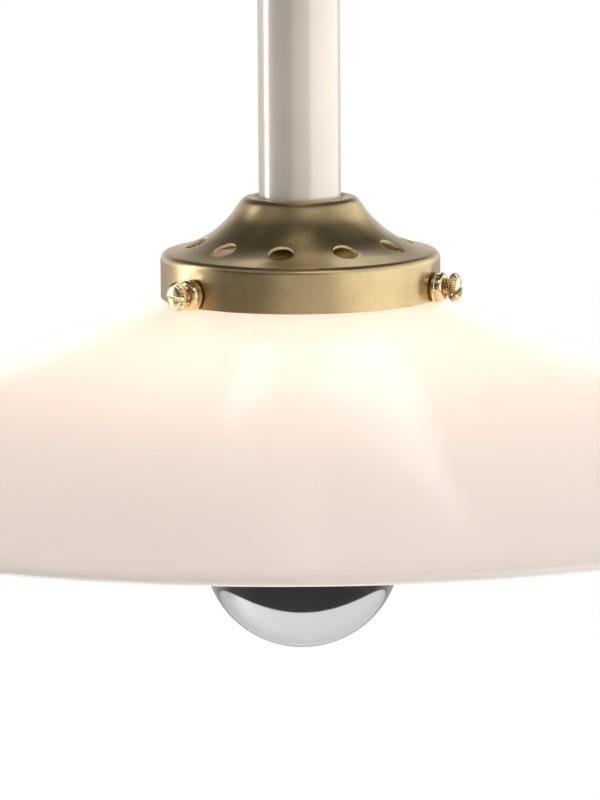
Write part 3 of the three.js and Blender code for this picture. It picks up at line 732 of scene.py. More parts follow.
FLARE = ((1, 0), (0.72, 0.114), (0.43, 0.323), (0.17, 0.66), (0, 1))
SHOULDER_SLOPE = 20
FLANK_SLOPE = 54


def spline(knots, steps):
    """Points along a Catmull-Rom curve through knots, with its end knots repeated."""
    padded = [knots[0], *knots, knots[-1]]
    points = []
    for a, b, c, d in zip(padded, padded[1:], padded[2:], padded[3:]):
        for i in range(steps):
            t = i / steps
            points.append(tuple(catmull(a[k], b[k], c[k], d[k], t) for k in (0, 1)))
    return [*points, tuple(knots[-1])]


def catmull(a, b, c, d, t):
    start, end = (c - a) / 2, (d - b) / 2
    cube, square = 2 * b - 2 * c + start + end, -3 * b + 3 * c - 2 * start - end
    return ((cube * t + square) * t + start) * t + b


def gallery_skin(sizes):
    """The gallery's outside from its lower edge to its rolled edge, heights from the lower edge."""
    shoulder = 2.5 * MM
    roll = 3.4 * MM
    band = arc(sizes.ring_radius - shoulder, sizes.band_height, shoulder, 0, 90 - SHOULDER_SLOPE, 12)
    low_r, low_z = band[-1]
    socket = sizes.stem_radius + 0.4 * MM
    inward = math.degrees(math.acos(-0.75))
    edge = arc(socket + 0.75 * roll, sizes.gallery_height - roll, roll, 90 - FLANK_SLOPE, inward, 16)
    high_r, high_z = edge[0]
    knots = [(high_r + a * (low_r - high_r), low_z + b * (high_z - low_z)) for a, b in FLARE]
    return [(sizes.ring_radius, 0.0), *band], spline(knots, 9)[1:-1], edge, socket


def inset(points, wall):
    """Moves an open outline to its left by a wall thickness."""
    moved = []
    for i, (r, z) in enumerate(points):
        r0, z0 = points[max(i - 1, 0)]
        r1, z1 = points[min(i + 1, len(points) - 1)]
        span = math.hypot(r1 - r0, z1 - z0)
        moved.append((r - wall * (z1 - z0) / span, z + wall * (r1 - r0) / span))
    return moved


def vent_tools(sizes, flare):
    """Round punches square to the flare, joined into one."""
    outer, inner = flare[0][0], flare[-1][0]
    target = inner + 0.6 * (outer - inner)
    at = next(i for i, (r, _) in enumerate(flare) if r < target)
    (r0, z0), (r1, z1) = flare[at - 1], flare[at]
    height = z0 + (r0 - target) / (r0 - r1) * (z1 - z0)
    lean = math.atan2(z1 - z0, r0 - r1)
    punches = []
    for i in range(10):
        turn = rad(-10.65 + 36 * i)
        deselect()
        bpy.ops.mesh.primitive_cylinder_add(vertices=40, radius=sizes.vent_radius, depth=6 * MM)
        punch = bpy.context.object
        where = (target * math.sin(turn), -target * math.cos(turn), height)
        punches.append(stand(punch, where, (lean, 0, turn)))
    return joined("vent_tools", punches)


class PENDANT_OT_gallery(bpy.types.Operator):
    """Adds the spun brass gallery with its vents"""

    bl_idname = "pendant.gallery"
    bl_label = "Gallery"

    def execute(self, context):
        sizes = context.scene.pendant_sizes
        wall = sizes.ring_wall
        band, flare, edge, socket = gallery_skin(sizes)
        seat = sizes.gallery_height - 2.5 * MM
        web = seat - wall
        bore = 5.3 * MM
        inside = [p for p in inset([*band, *flare], wall) if p[1] < web]
        inside[0] = (sizes.ring_radius - wall, 0.0)
        outline = [*band, *flare, *edge, (socket, seat), (bore, seat), (bore, web)]
        outline += [(inside[-1][0] - 0.5 * MM, web), *inside[::-1], band[0]]
        gallery = turned("gallery_shell", outline, 160)
        gallery.data.materials.append(satin_brass())
        tools = vent_tools(sizes, flare)
        # The vent punches carry the lightened brass, which paints a highlight on the vent walls.
        tools.data.materials.append(painted_rim_highlight())
        cut(gallery, tools)
        for degrees in SCREW_ANGLES:
            hole = drill(3.2, -3, 3)
            turn = rad(degrees)
            where = (sizes.ring_radius * math.sin(turn), -sizes.ring_radius * math.cos(turn), SCREW_Z - RIM_Z)
            cut(gallery, stand(hole, where, (rad(90), 0, turn)))
        # The roundings take material slot 1, the lightened brass that paints a highlight along the edges.
        bevel(gallery, 0.22 * MM, 2, 40, finish=1)
        smooth(gallery, 30)
        stand(gallery, (0, 0, RIM_Z))
        settle(gallery, None, "fixture", "satin_brass", "gallery")
        return {"FINISHED"}


# ---------- thumbscrews ----------

SCREW_ANGLES = (-48.8, 71.2, 191.2)
SLOT_ANGLES = (-9, 21, 64)
KNURLS = 36
SHANK_START = 41.2
PAD_START = 39.6


def threaded(radius, depth, start, end, pitch):
    """Zigzag outline of a thread along a rod, from its start to its end."""
    turns = max(1, round(abs(end - start) / pitch))
    step = (end - start) / turns
    points = []
    for i in range(turns):
        points += [(radius - depth, start + step * i), (radius, start + step * (i + 0.5))]
    return [*points, (radius - depth, end)]


def point_outwards(piece, degrees):
    """Turns a piece made along Z to point outwards through the band, at an angle from the front."""
    return stand(piece, (0, 0, SCREW_Z), (rad(90), 0, rad(degrees)), "XYZ")


def boss(sizes, name):
    face = sizes.ring_radius * 1000 + 0.3
    big = sizes.boss_radius * 1000
    nose = face + 3.5
    outline = [(2.25, face - 1.1), (3.1, face - 1.1), (3.1, face), (big - 0.15, face)]
    outline += [(big, face + 0.15), (big, face + 0.95), (big - 0.15, face + 1.1), (big - 0.45, face + 1.15)]
    outline += [(big - 0.45, face + 1.3), (big - 0.1, face + 1.4)]
    outline += arc(big - 1.6, face + 2.0, 1.5, 0, 72, 10)
    outline += [(2.95, nose), (2.8, nose - 0.1), (2.7, nose - 1.0), (2.25, nose - 1.1), (2.25, face - 1.1)]
    return turned(name, scaled(outline), 64, 28)


def thumbscrew(sizes, name, slot_degrees):
    face = sizes.ring_radius * 1000 + 0.3
    start = SHANK_START
    head = face + 5.0
    radius = sizes.head_radius * 1000
    shank = threaded(1.9, 0.28, start + 0.4, head - 0.1, 0.7)
    outline = [(0, start), (1.5, start), *shank, (1.75, head), (radius - 1.3, head)]
    outline += [(radius - 0.85, head + 0.12), (radius - 0.3, head + 0.4), (radius, head + 0.9)]
    outline += [(radius, head + 1.3), (radius - 0.15, head + 1.7), (radius - 0.45, head + 2.15)]
    outline += [(radius - 0.85, head + 2.55), (radius - 0.95, head + 2.62), (radius - 1.1, head + 2.6)]
    brow = radius - 1.15
    outline += quarter(0, head + 2.6, brow, 0.75, 12, 8)[1:]
    outline += [(0, head + 3.35)]
    screw = turned(name, scaled(outline), 2 * KNURLS, 28)
    rim = (radius - 0.9) * MM
    step = math.pi / KNURLS

    def crest(co):
        spot = round(math.atan2(co.y, co.x) / step)
        return math.hypot(co.x, co.y) > rim and co.z > (head + 0.3) * MM and spot % 2 == 0

    select_points(screw, crest)
    bpy.ops.transform.resize(value=(0.9, 0.9, 1), center_override=(0, 0, 0))
    bpy.ops.object.mode_set(mode="OBJECT")
    smooth(screw, 22)
    deselect()
    bpy.ops.mesh.primitive_cube_add(size=1)
    tool = bpy.context.object
    tool.scale = (radius * 2.4 * MM, 1.25 * MM, 2.4 * MM)
    stand(tool, (0, 0, (head + 3.1) * MM), (0, 0, rad(slot_degrees)))
    cut(screw, tool)
    smooth(screw, 25)
    return screw


class PENDANT_OT_thumbscrews(bpy.types.Operator):
    """Adds the bosses, the knurled thumbscrews and their pads"""

    bl_idname = "pendant.thumbscrews"
    bl_label = "Thumbscrews"

    def execute(self, context):
        sizes = context.scene.pendant_sizes
        for i, (degrees, slot) in enumerate(zip(SCREW_ANGLES, SLOT_ANGLES), 1):
            collar = point_outwards(boss(sizes, f"boss_{i}"), degrees)
            settle(collar, bright_brass(), "fixture", "polished_brass", f"screw_boss_{i}")
            screw = point_outwards(thumbscrew(sizes, f"knurled_screw_{i}", slot), degrees)
            settle(screw, bright_brass(), f"screw_{i}", "polished_brass", f"thumbscrew_{i}")
            start = PAD_START
            outline = [(0, start), (1.5, start), (1.7, start + 0.2), (1.7, start + 1.1)]
            outline += [(1.5, start + 1.3), (0, start + 1.3)]
            pad = point_outwards(turned(f"pad_{i}_nylon", scaled(outline), 32), degrees)
            settle(pad, nylon(), f"pad_{i}", "white_nylon", f"thumbscrew_pad_{i}")
        return {"FINISHED"}


# ---------- shade ----------

SHADE_SLOPE = 0.394


class PENDANT_OT_shade(bpy.types.Operator):
    """Adds the opal glass shade"""

    bl_idname = "pendant.shade"
    bl_label = "Shade"

    def execute(self, context):
        sizes = context.scene.pendant_sizes
        ring = sizes.ring_radius * 1000
        wall = sizes.shade_wall * 1000
        tilt = math.degrees(math.atan(SHADE_SLOPE))
        lip_r = ring - 0.9 - 0.8
        groove = lip_r - 2.3
        bore = groove - wall
        top = (SCREW_Z - RIM_Z) / MM + 1.7 + 0.9 + 3.6
        fillet = 3.2

        def drop(r):
            return -0.7 - SHADE_SLOPE * (r - ring)

        foot_r = groove + fillet * (1 - math.sin(rad(tilt)))
        foot_z = drop(foot_r) + fillet * math.cos(rad(tilt))
        outline = [(bore, top - 1.2), *arc(bore + 1.2, top - 1.2, 1.2, 180, 90, 6)]
        outline += arc(lip_r - 1.2, top - 1.2, 1.2, 90, 0, 6)
        outline += arc(lip_r - 1.2, top - 2.4, 1.2, 0, -90, 6)
        outline += [(groove + 0.6, top - 3.6), (groove, top - 4.2)]
        outline += arc(groove + fillet, foot_z, fillet, 180, 270 - tilt, 10)
        edge = wall / 2
        rim_r = sizes.shade_radius * 1000 - edge
        rim_z = drop(rim_r) - edge / math.cos(rad(tilt))
        first = outline[-1]
        last = (rim_r + edge * math.sin(rad(tilt)), rim_z + edge * math.cos(rad(tilt)))
        outline += between(first, last, 24)
        outline += arc(rim_r, rim_z, edge, 90 - tilt, -90 - tilt, 14)
        inner = (bore, drop(bore) - wall / math.cos(rad(tilt)))
        last = outline[-1]
        outline += between(last, inner, 24)
        outline += [(bore + 0.9, inner[1] - 0.35), (bore + 0.25, inner[1] + 0.2)]
        outline += [(bore, inner[1] + 1.1), (bore, top - 1.2)]
        shade = turned("opal_shade", scaled(outline, RIM_Z), 224)
        settle(shade, opal_glass(), "fixture", "opal_glass", "shade")
        return {"FINISHED"}


# ---------- bulb ----------


def bulb_skin(sizes, wall=0.0):
    """The bulb's outline from its neck down to its lowest point, moved inwards by a wall."""
    radius = sizes.bulb_radius * 1000
    bottom = (low("bulb_glass")[2] - RIM_Z) * 1000
    centre = bottom + radius
    cap = (low("bulb_cap_shell")[2] - RIM_Z) * 1000
    neck = 12.3
    cut_r, cut_z = radius * math.cos(rad(40)), centre + radius * math.sin(rad(40))
    shares = ((0, 0.01), (0.1, 0.1), (0.2, 0.32), (0.33, 0.54), (0.58, 0.77), (1, 1))
    knots = [(neck + a * (cut_r - neck), cap + b * (cut_z - cap)) for a, b in shares]
    globe = arc(0, centre, radius - wall, 40, -90, 44)[1:-1]
    skin = [(neck, cap + 4), *spline(knots, 7)[:-1]]
    moved = inset([*skin, (cut_r, cut_z)], -wall)[:-1] if wall else skin
    if wall:
        moved[0] = (neck - wall, cap + 4)
    return [*moved, *globe], (0, centre - radius + wall), centre


class PENDANT_OT_bulb(bpy.types.Operator):
    """Adds the crown-mirrored bulb"""

    bl_idname = "pendant.bulb"
    bl_label = "Bulb"

    def execute(self, context):
        sizes = context.scene.pendant_sizes
        wall = 0.9
        outside, tip, centre = bulb_skin(sizes)
        inside, inner_tip, _ = bulb_skin(sizes, wall)
        glass = turned("bulb_envelope", scaled([*outside, tip], RIM_Z), 96, 60)
        lining = turned("bulb_lining", scaled([*inside, inner_tip], RIM_Z), 96, 60)
        take(lining)
        bpy.ops.object.mode_set(mode="EDIT")
        bpy.ops.mesh.select_all(action="SELECT")
        bpy.ops.mesh.flip_normals()
        bpy.ops.object.mode_set(mode="OBJECT")
        take(glass)
        glass = joined("bulb_envelope", [glass, lining])
        take(glass)
        bpy.ops.object.mode_set(mode="EDIT")
        bpy.ops.mesh.select_all(action="DESELECT")
        bpy.ops.mesh.select_non_manifold()
        bpy.ops.mesh.bridge_edge_loops()
        bpy.ops.object.mode_set(mode="OBJECT")
        smooth(glass, 60)
        settle(glass, clear_glass(), "bulb", "clear_glass", "bulb_glass")

        silver = sizes.bulb_radius * 1000 - wall - 0.15
        outline = arc(0, centre, silver, 8, -90, 36)[:-1]
        lined = arc(0, centre, silver - 0.3, 8, -90, 36)[:-1]
        film = [lined[0], *outline, (0, centre - silver)]
        crown = turned("silvered_crown", scaled(film, RIM_Z), 96, 60)
        settle(crown, silvering(), "bulb", "mirror_silver", "bulb_mirror")
        return {"FINISHED"}


# ---------- bulb's cap and inside ----------


class PENDANT_OT_bulb_cap(bpy.types.Operator):
    """Adds the bulb's threaded cap, its insulator and its contact"""

    bl_idname = "pendant.bulb_cap"
    bl_label = "Bulb Cap"

    def execute(self, context):
        bottom, top = heights("bulb_cap_shell")
        radius = high("bulb_cap_shell")[0] / MM
        top_rim = [(radius - 1.7, top), (radius - 1.3, top - 0.25), (radius - 0.9, top - 0.8)]
        skirt = radius - 0.05
        bottom_rim = [(skirt - 0.35, bottom + 5.2), (skirt, bottom + 4.6), (skirt, bottom + 0.4)]
        bottom_rim += [(skirt + 0.1, bottom)]
        shell = threaded_sleeve(
            "cap_thread", radius, 1.0, top_rim, bottom_rim, bottom + 6, top - 1.6, 0.22
        )
        settle(shell, nickel(), "bulb", "nickel_plate", "bulb_cap_shell")

        base, peak = heights("bulb_contact")
        outline = [(0, peak), *arc(2.2, peak - 0.9, 0.9, 90, 40, 5), (4.2, base + 0.75)]
        outline += [(4.6, base + 0.55), (4.7, base + 0.3), (4.6, base), (0, base)]
        contact = turned("cap_contact", scaled(outline), 64, 40)
        settle(contact, nickel(), "bulb_axis", "nickel_plate", "bulb_contact")

        base, peak = heights("bulb_insulator")
        outline = [(0, peak), (4.8, peak), (5.2, peak - 0.3), (6.6, peak - 0.8), (8.6, peak - 1.3)]
        outline += [(10.4, peak - 1.9), (11.3, peak - 2.6), (11.5, base), (0, base)]
        glass = turned("cap_insulator", scaled(outline), 72, 50)
        settle(glass, black_glass(), "bulb", "black_glass", "bulb_insulator")
        return {"FINISHED"}


class PENDANT_OT_filaments(bpy.types.Operator):
    """Adds the glass mount and the four filament sticks with their supports"""

    bl_idname = "pendant.filaments"
    bl_label = "Filaments"

    def execute(self, context):
        bottom, top = heights("bulb_mount")
        outline = [(0, top), (10.2, top), (10.8, top - 0.4), (10.7, top - 1.3)]
        outline += [(8.2, top - 2.4), (5.4, top - 3.8), (3.8, top - 5.6), (3.2, top - 7.5)]
        outline += [(3.2, top - 12), (2.6, top - 15), (1.7, top - 20), (1.4, top - 26)]
        outline += [(1.4, bottom + 0.8), *arc(0.6, bottom + 0.8, 0.8, 0, -80, 5), (0, bottom)]
        mount = turned("glass_mount", scaled(outline), 48, 60)
        settle(mount, clear_glass(), "bulb", "clear_glass", "bulb_mount")

        bottom, top = heights("filament_1")
        outline = [(0, bottom), (0.35, bottom), (0.35, bottom + 0.9), (0.8, bottom + 1.2)]
        outline += [(0.9, bottom + 1.6), (0.9, top - 1.6), (0.8, top - 1.2), (0.35, top - 0.9)]
        outline += [(0.35, top), (0, top)]
        stick = turned("filament_stick_1", scaled(outline), 24, 50)
        twins = [stick, *[copied(stick, f"filament_stick_{i}") for i in (2, 3, 4)]]
        reach = 5.5 * MM
        for i, twin in enumerate(twins):
            turn = rad(45 + 90 * i)
            stand(twin, (reach * math.cos(turn), reach * math.sin(turn), 0))
            settle(twin, phosphor(), "bulb", "filament_coating", f"filament_{i + 1}")

        rings = {"filament_wire_upper": "support_upper", "filament_wire_lower": "support_lower"}
        for node, name in rings.items():
            bottom, top = heights(node)
            middle = (bottom + top) / 2
            legs = []
            for i in range(4):
                turn = rad(45 + 90 * i)
                out = [(1.75 * MM, 0, middle * MM), (3.4 * MM, 0, (middle + 0.12) * MM)]
                out += [(5.2 * MM, 0, middle * MM)]
                leg = wire_tube("leg", out, 0.24 * MM, 6)
                legs.append(stand(leg, rotation=(0, 0, turn)))
            deselect()
            for radius in (5.5, 1.9):
                bpy.ops.mesh.primitive_torus_add(
                    major_radius=radius * MM,
                    minor_radius=0.27 * MM,
                    major_segments=64,
                    minor_segments=14,
                    location=(0, 0, middle * MM),
                )
                hoop = bpy.context.object
                legs.append(stand(hoop, tuple(hoop.location)))
            support = joined(name, legs)
            smooth(support, 60)
            settle(support, nickel(), "bulb", "nickel_plate", node)
        return {"FINISHED"}


# ---------- lampholder ----------

TERMINAL_SPOTS = ((-9.3, 0), (9.3, 0), (0, -9.3))


class PENDANT_OT_lampholder(bpy.types.Operator):
    """Adds the lampholder's cap, sleeve, porcelain core, screw shell and contacts"""

    bl_idname = "pendant.lampholder"
    bl_label = "Lampholder"

    def execute(self, context):
        bottom, top = heights("holder_cap")
        radius, boss = 20, 8
        rise = top - 3 - bottom
        dome = quarter(boss, bottom, radius - boss, rise, 5, 18)
        outline = [(radius, bottom + 0.2), (radius + 0.25, bottom + 0.5), (radius + 0.25, bottom + 1.1)]
        outline += [(radius - 0.02, bottom + 1.4), *dome[3:], (boss + 0.3, top - 2.7), (boss, top - 2.3)]
        outline += [(boss, top - 0.4), (boss - 0.4, top), (5.7, top), (5.3, top - 0.4), (5.3, top - 5)]
        outline += [(boss, top - 5)]
        lining = quarter(boss, bottom, radius - 1.2 - boss, rise - 1.2, 6, 15)
        outline += [*lining[::-1], (radius - 1.2, bottom), (radius - 0.2, bottom), (radius, bottom + 0.2)]
        cap = turned("lampholder_cap", scaled(outline), 112, 30)
        settle(cap, satin_brass(), "fixture", "satin_brass", "holder_cap")

        bottom, top = heights("holder_sleeve")
        bore = radius - 1.2
        outline = [(bore, bottom + 0.3), (bore + 0.3, bottom), (radius + 0.1, bottom)]
        outline += [(radius + 0.4, bottom + 0.4), (radius + 0.4, bottom + 1.4), (radius, bottom + 1.9)]
        for height in (5, 8, 11, 14, 17):
            groove = bottom + height
            outline += [(radius, groove - 0.5), (radius - 0.35, groove - 0.25)]
            outline += [(radius - 0.35, groove + 0.25), (radius, groove + 0.5)]
        outline += [(radius, top - 0.3), (radius - 0.3, top), (bore + 0.2, top), (bore, top - 0.2)]
        outline += [(bore, bottom + 0.3)]
        sleeve = turned("lampholder_sleeve", scaled(outline), 112, 30)
        settle(sleeve, phenolic(), "fixture", "black_phenolic", "holder_sleeve")

        bottom, top = heights("holder_core")
        flange, body, recess = 18.5, 16.5, 9
        outline = [(0, top - 0.6), (5, top - 0.6), (5.4, top), (flange - 0.5, top), (flange, top - 0.5)]
        outline += [(flange, top - 2.6), (flange - 0.4, top - 3), (body + 0.3, top - 3), (body, top - 3.3)]
        outline += [(body, bottom + 0.5), (body - 0.5, bottom), (recess + 0.4, bottom)]
        outline += [(recess, bottom + 0.4), (recess, bottom + 3.2), (recess - 0.3, bottom + 3.5)]
        core = turned("porcelain_core", scaled([*outline, (0, bottom + 3.5)]), 96, 35)
        for x, y in TERMINAL_SPOTS:
            cut(core, drill(1.6, top - 4.5, top + 1, x, y))
        smooth(core, 35)
        settle(core, porcelain(), "fixture", "porcelain", "holder_core")

        for i, (x, y) in enumerate(TERMINAL_SPOTS, 1):
            seat = top + 0.3
            screw = slotted_screw(f"terminal_screw_{i}", 2.6, 1.3, seat, top - 4, (x, y), 0.7, 1.8)
            settle(screw, bright_brass(), "fixture", "polished_brass", f"holder_terminal_{i}")

        bottom, top = heights("holder_screw_shell")
        radius = high("holder_screw_shell")[0] / MM
        top_rim = [(8.2, top - 0.05), (radius - 1.6, top - 0.05)]
        top_rim += [(radius - 0.7, top - 0.35), (radius - 0.45, top - 0.9)]
        bottom_rim = [(radius - 0.2, bottom + 1.6), (radius - 0.05, bottom + 1.0), (radius - 0.05, bottom)]
        shell = threaded_sleeve(
            "screw_shell", radius + 0.25, 0.7, top_rim, bottom_rim, bottom + 2.4, top - 1.8, 0.3
        )
        settle(shell, bright_brass(), "fixture", "polished_brass", "holder_screw_shell")

        bottom, top = heights("holder_centre_contact")
        strip = [(-6.5, top), (6.5, top), (6.5, top - 0.35), (3.2, top - 0.4), (1.6, bottom), (-1.6, bottom)]
        strip += [(-3.2, top - 0.4), (-6.5, top - 0.35)]
        leaf = traced("centre_leaf", scaled(strip), -2.5 * MM, 2.5 * MM)
        bevel(leaf, 0.08 * MM, 2, 20)
        smooth(leaf, 30)
        settle(leaf, bright_brass(), "fixture", "polished_brass", "holder_centre_contact")
        return {"FINISHED"}


# ---------- ceiling fixing and canopy ----------


class PENDANT_OT_ceiling(bpy.types.Operator):
    """Adds the ceiling plate and the yoke that hangs from it"""

    bl_idname = "pendant.ceiling"
    bl_label = "Ceiling Fixing"

    def execute(self, context):
        bottom, top = heights("ceiling_plate")
        radius = high("ceiling_plate")[0] / MM
        outline = [(0, top), (radius - 0.4, top), (radius, top - 0.4), (radius, bottom + 0.4)]
        plate = turned("ceiling_disc", scaled([*outline, (radius - 0.4, bottom), (0, bottom)]), 128)
        for side in (-1, 1):
            middle = (0, side * 36 * MM, (top + bottom) / 2 * MM)
            slot = block("slot", (12 * MM, 4.5 * MM, 12 * MM), middle, 2.2 * MM)
            cut(plate, slot)
            cut(plate, drill(2.3, bottom - 1, top + 1, side * 30, 0))
        cut(plate, drill(6, bottom - 1, top + 1, 0, 22))
        bevel(plate, 0.2 * MM, 2, 40)
        smooth(plate, 30)
        settle(plate, zinc_steel(), "fixture", "zinc_steel", "ceiling_plate")

        web, top = heights("hanger_yoke")
        inner, sheet, foot = 20, 2, 16
        outer = inner + sheet
        half = [(outer + foot, top), (outer + foot, top - sheet), (outer, top - sheet), (outer, web)]
        outline = [(-inner, top), *[(-x, z) for x, z in half], *half[::-1], (inner, top)]
        outline += [(inner, web + sheet), (-inner, web + sheet)]
        yoke = traced("yoke_strap", scaled(outline), -10 * MM, 10 * MM)
        cut(yoke, drill(5.3, web - 1, web + sheet + 1))
        for side in (-1, 1):
            cut(yoke, drill(2.3, top - sheet - 1, top + 1, side * 30, 0))
        bevel(yoke, 0.45 * MM, 3, 40)
        smooth(yoke, 30)
        settle(yoke, zinc_steel(), "fixture", "zinc_steel", "hanger_yoke")
        for side, x in (("left", -30), ("right", 30)):
            node = f"yoke_screw_{side}"
            lowest, tip = heights(node)
            screw = slotted_screw(f"strap_screw_{side}", 3.8, 2, lowest + 2.4, tip, (x, 0), 0.9, 2.4)
            settle(screw, zinc_steel(), "fixture", "zinc_steel", node)
        return {"FINISHED"}


class PENDANT_OT_fixings(bpy.types.Operator):
    """Adds the threaded nipples, their nuts and the plugs in the stem's ends"""

    bl_idname = "pendant.fixings"
    bl_label = "Nipples and Nuts"

    def execute(self, context):
        for node, name in (("top_nipple", "nipple_top"), ("bottom_nipple", "nipple_bottom")):
            bottom, top = heights(node)
            bore, radius = 3.8, high(node)[0] / MM
            outline = [(bore, bottom + 0.3), (bore + 0.3, bottom), (radius - 0.5, bottom)]
            outline += [*threaded(radius, 0.35, bottom + 0.5, top - 0.5, 1.0), (radius - 0.5, top)]
            outline += [(bore + 0.3, top), (bore, top - 0.3), (bore, bottom + 0.3)]
            settle(turned(name, scaled(outline), 64, 25), zinc_steel(), "fixture", "zinc_steel", node)
        for node, name in (
            ("yoke_nut_upper", "nut_upper"),
            ("yoke_nut_lower", "nut_lower"),
            ("gallery_nut", "nut_gallery"),
        ):
            bottom, top = heights(node)
            settle(hex_nut(name, 14, 5.3, bottom, top), zinc_steel(), "fixture", "zinc_steel", node)
        for node, name in (("stem_top_plug", "plug_top"), ("stem_bottom_plug", "plug_bottom")):
            bottom, top = heights(node)
            bore, radius = 5.3, high(node)[0] / MM
            middle = (bottom + top) / 2
            outline = [(bore, bottom + 0.5), (bore + 0.5, bottom), (radius - 0.4, bottom)]
            outline += [(radius, bottom + 0.4), (radius, middle - 1), (radius - 0.4, middle - 0.7)]
            outline += [(radius - 0.4, middle + 0.7), (radius, middle + 1), (radius, top - 0.4)]
            outline += [(radius - 0.4, top), (bore + 0.5, top), (bore, top - 0.5), (bore, bottom + 0.5)]
            settle(turned(name, scaled(outline), 80, 25), zinc_steel(), "fixture", "zinc_steel", node)
        return {"FINISHED"}


class PENDANT_OT_terminal_block(bpy.types.Operator):
    """Adds the three-pole terminal block and its clamp screws"""

    bl_idname = "pendant.terminal_block"
    bl_label = "Terminal Block"

    def execute(self, context):
        bottom, top = heights("terminal_block")
        face, back = high("terminal_block")[1] / MM, low("terminal_block")[1] / MM
        middle, depth = (face + back) / 2, face - back
        step, pitch, width = 2, 9, 8
        size = (26 * MM, (depth - 2 * step) * MM, (top - bottom - step) * MM)
        body = block("pole_block", size, (0, middle * MM, (top + bottom + step) / 2 * MM), 0.5 * MM)
        for i in (-1, 0, 1):
            size = (width * MM, depth * MM, (top - 1 - bottom) * MM)
            pole = block("pole", size, (i * pitch * MM, middle * MM, (top - 1 + bottom) / 2 * MM), 0.9 * MM)
            modify(body, "BOOLEAN", operation="UNION", solver="EXACT", object=pole)
            bpy.data.objects.remove(pole)
        entry = (top + bottom) / 2
        for i in (-1, 0, 1):
            cut(body, drill(2.4, bottom - 1, bottom + 7, i * pitch, middle))
            hole = drill(1.7, -3, 3)
            stand(hole, (i * pitch * MM, face * MM, entry * MM), (rad(90), 0, 0))
            cut(body, hole)
        bevel(body, 0.12 * MM, 2, 50)
        smooth(body, 30)
        settle(body, nylon(), "fixture", "white_nylon", "terminal_block")
        for i in (1, 2, 3):
            node = f"block_screw_{i}"
            lowest, tip = heights(node)
            place = ((i - 2) * pitch, middle)
            screw = slotted_screw(f"clamp_screw_{i}", 2, 1.3, lowest + 1.8, tip, place, 0.6, 1.8)
            settle(screw, zinc_steel(), "fixture", "zinc_steel", node)
        return {"FINISHED"}


class PENDANT_OT_canopy(bpy.types.Operator):
    """Adds the lacquered canopy, its clamping collar and grub screw"""

    bl_idname = "pendant.canopy"
    bl_label = "Canopy"

    def execute(self, context):
        bottom, top = heights("canopy")
        radius = high("canopy")[0] / MM
        bore = context.scene.pendant_sizes.stem_radius / MM + 0.4
        wall, edge = 1.2, 12
        outline = [(radius - 0.3, top), (radius, top - 0.3)]
        outline += arc(radius - edge, bottom + edge, edge, 0, -90, 16)
        outline += [(bore + 1.0, bottom), (bore + 0.3, bottom + 0.1)]
        outline += [(bore, bottom + 0.4), (bore, bottom + wall)]
        outline += arc(radius - edge, bottom + edge, edge - wall, -90, 0, 16)
        outline += [(radius - wall, top - 0.3), (radius - wall + 0.3, top), (radius - 0.3, top)]
        cup = turned("canopy_cup", scaled(outline), 160)
        settle(cup, lacquer(), "canopy", "cream_lacquer", "canopy")

        bottom, top = heights("canopy_collar")
        radius = high("canopy_collar")[0] / MM
        outline = [(bore, top - 0.3), (bore, bottom + 0.3), (bore + 0.3, bottom), (radius - 2.2, bottom)]
        outline += arc(radius - 2.2, bottom + 2.2, 2.2, -80, 0, 8)
        outline += [(radius, top - 2.0), (radius - 0.3, top - 1.7), (radius - 0.3, top - 1.4)]
        outline += [(radius, top - 1.1), (radius, top - 0.3), (radius - 0.3, top)]
        outline += [(bore + 0.3, top), (bore, top - 0.3)]
        collar = turned("clamp_collar", scaled(outline), 112)
        middle = (bottom + top) / 2
        hole = drill(1.75, 0, 40)
        stand(hole, (0, 0, middle * MM), (rad(-90), 0, 0))
        cut(collar, hole)
        smooth(collar, 30)
        settle(collar, satin_brass(), "canopy", "satin_brass", "canopy_collar")

        start, end = low("canopy_grub_screw")[1] / MM, high("canopy_grub_screw")[1] / MM
        shank = threaded(1.5, 0.15, start + 0.4, end - 0.2, 0.5)
        outline = [(0, start), (0.9, start), (1.2, start + 0.3), *shank, (1.2, end), (0, end)]
        screw = turned("grub_screw", scaled(outline), 40, 25)
        cut(screw, drill(0.8, end - 1.6, end + 1, sides=6))
        smooth(screw, 25)
        stand(screw, (0, 0, middle * MM), (rad(-90), 0, 0))
        settle(screw, zinc_steel(), "canopy", "zinc_steel", "canopy_grub_screw")
        return {"FINISHED"}


# ---------- wires ----------

WIRES = (
    ("wire_live", "lead_live", -1, (-0.88, 0.48), (-1, 0)),
    ("wire_neutral", "lead_neutral", 1, (0.88, 0.48), (1, 0)),
    ("wire_earth", "lead_earth", 0, (0, -1), (0, -1)),
)


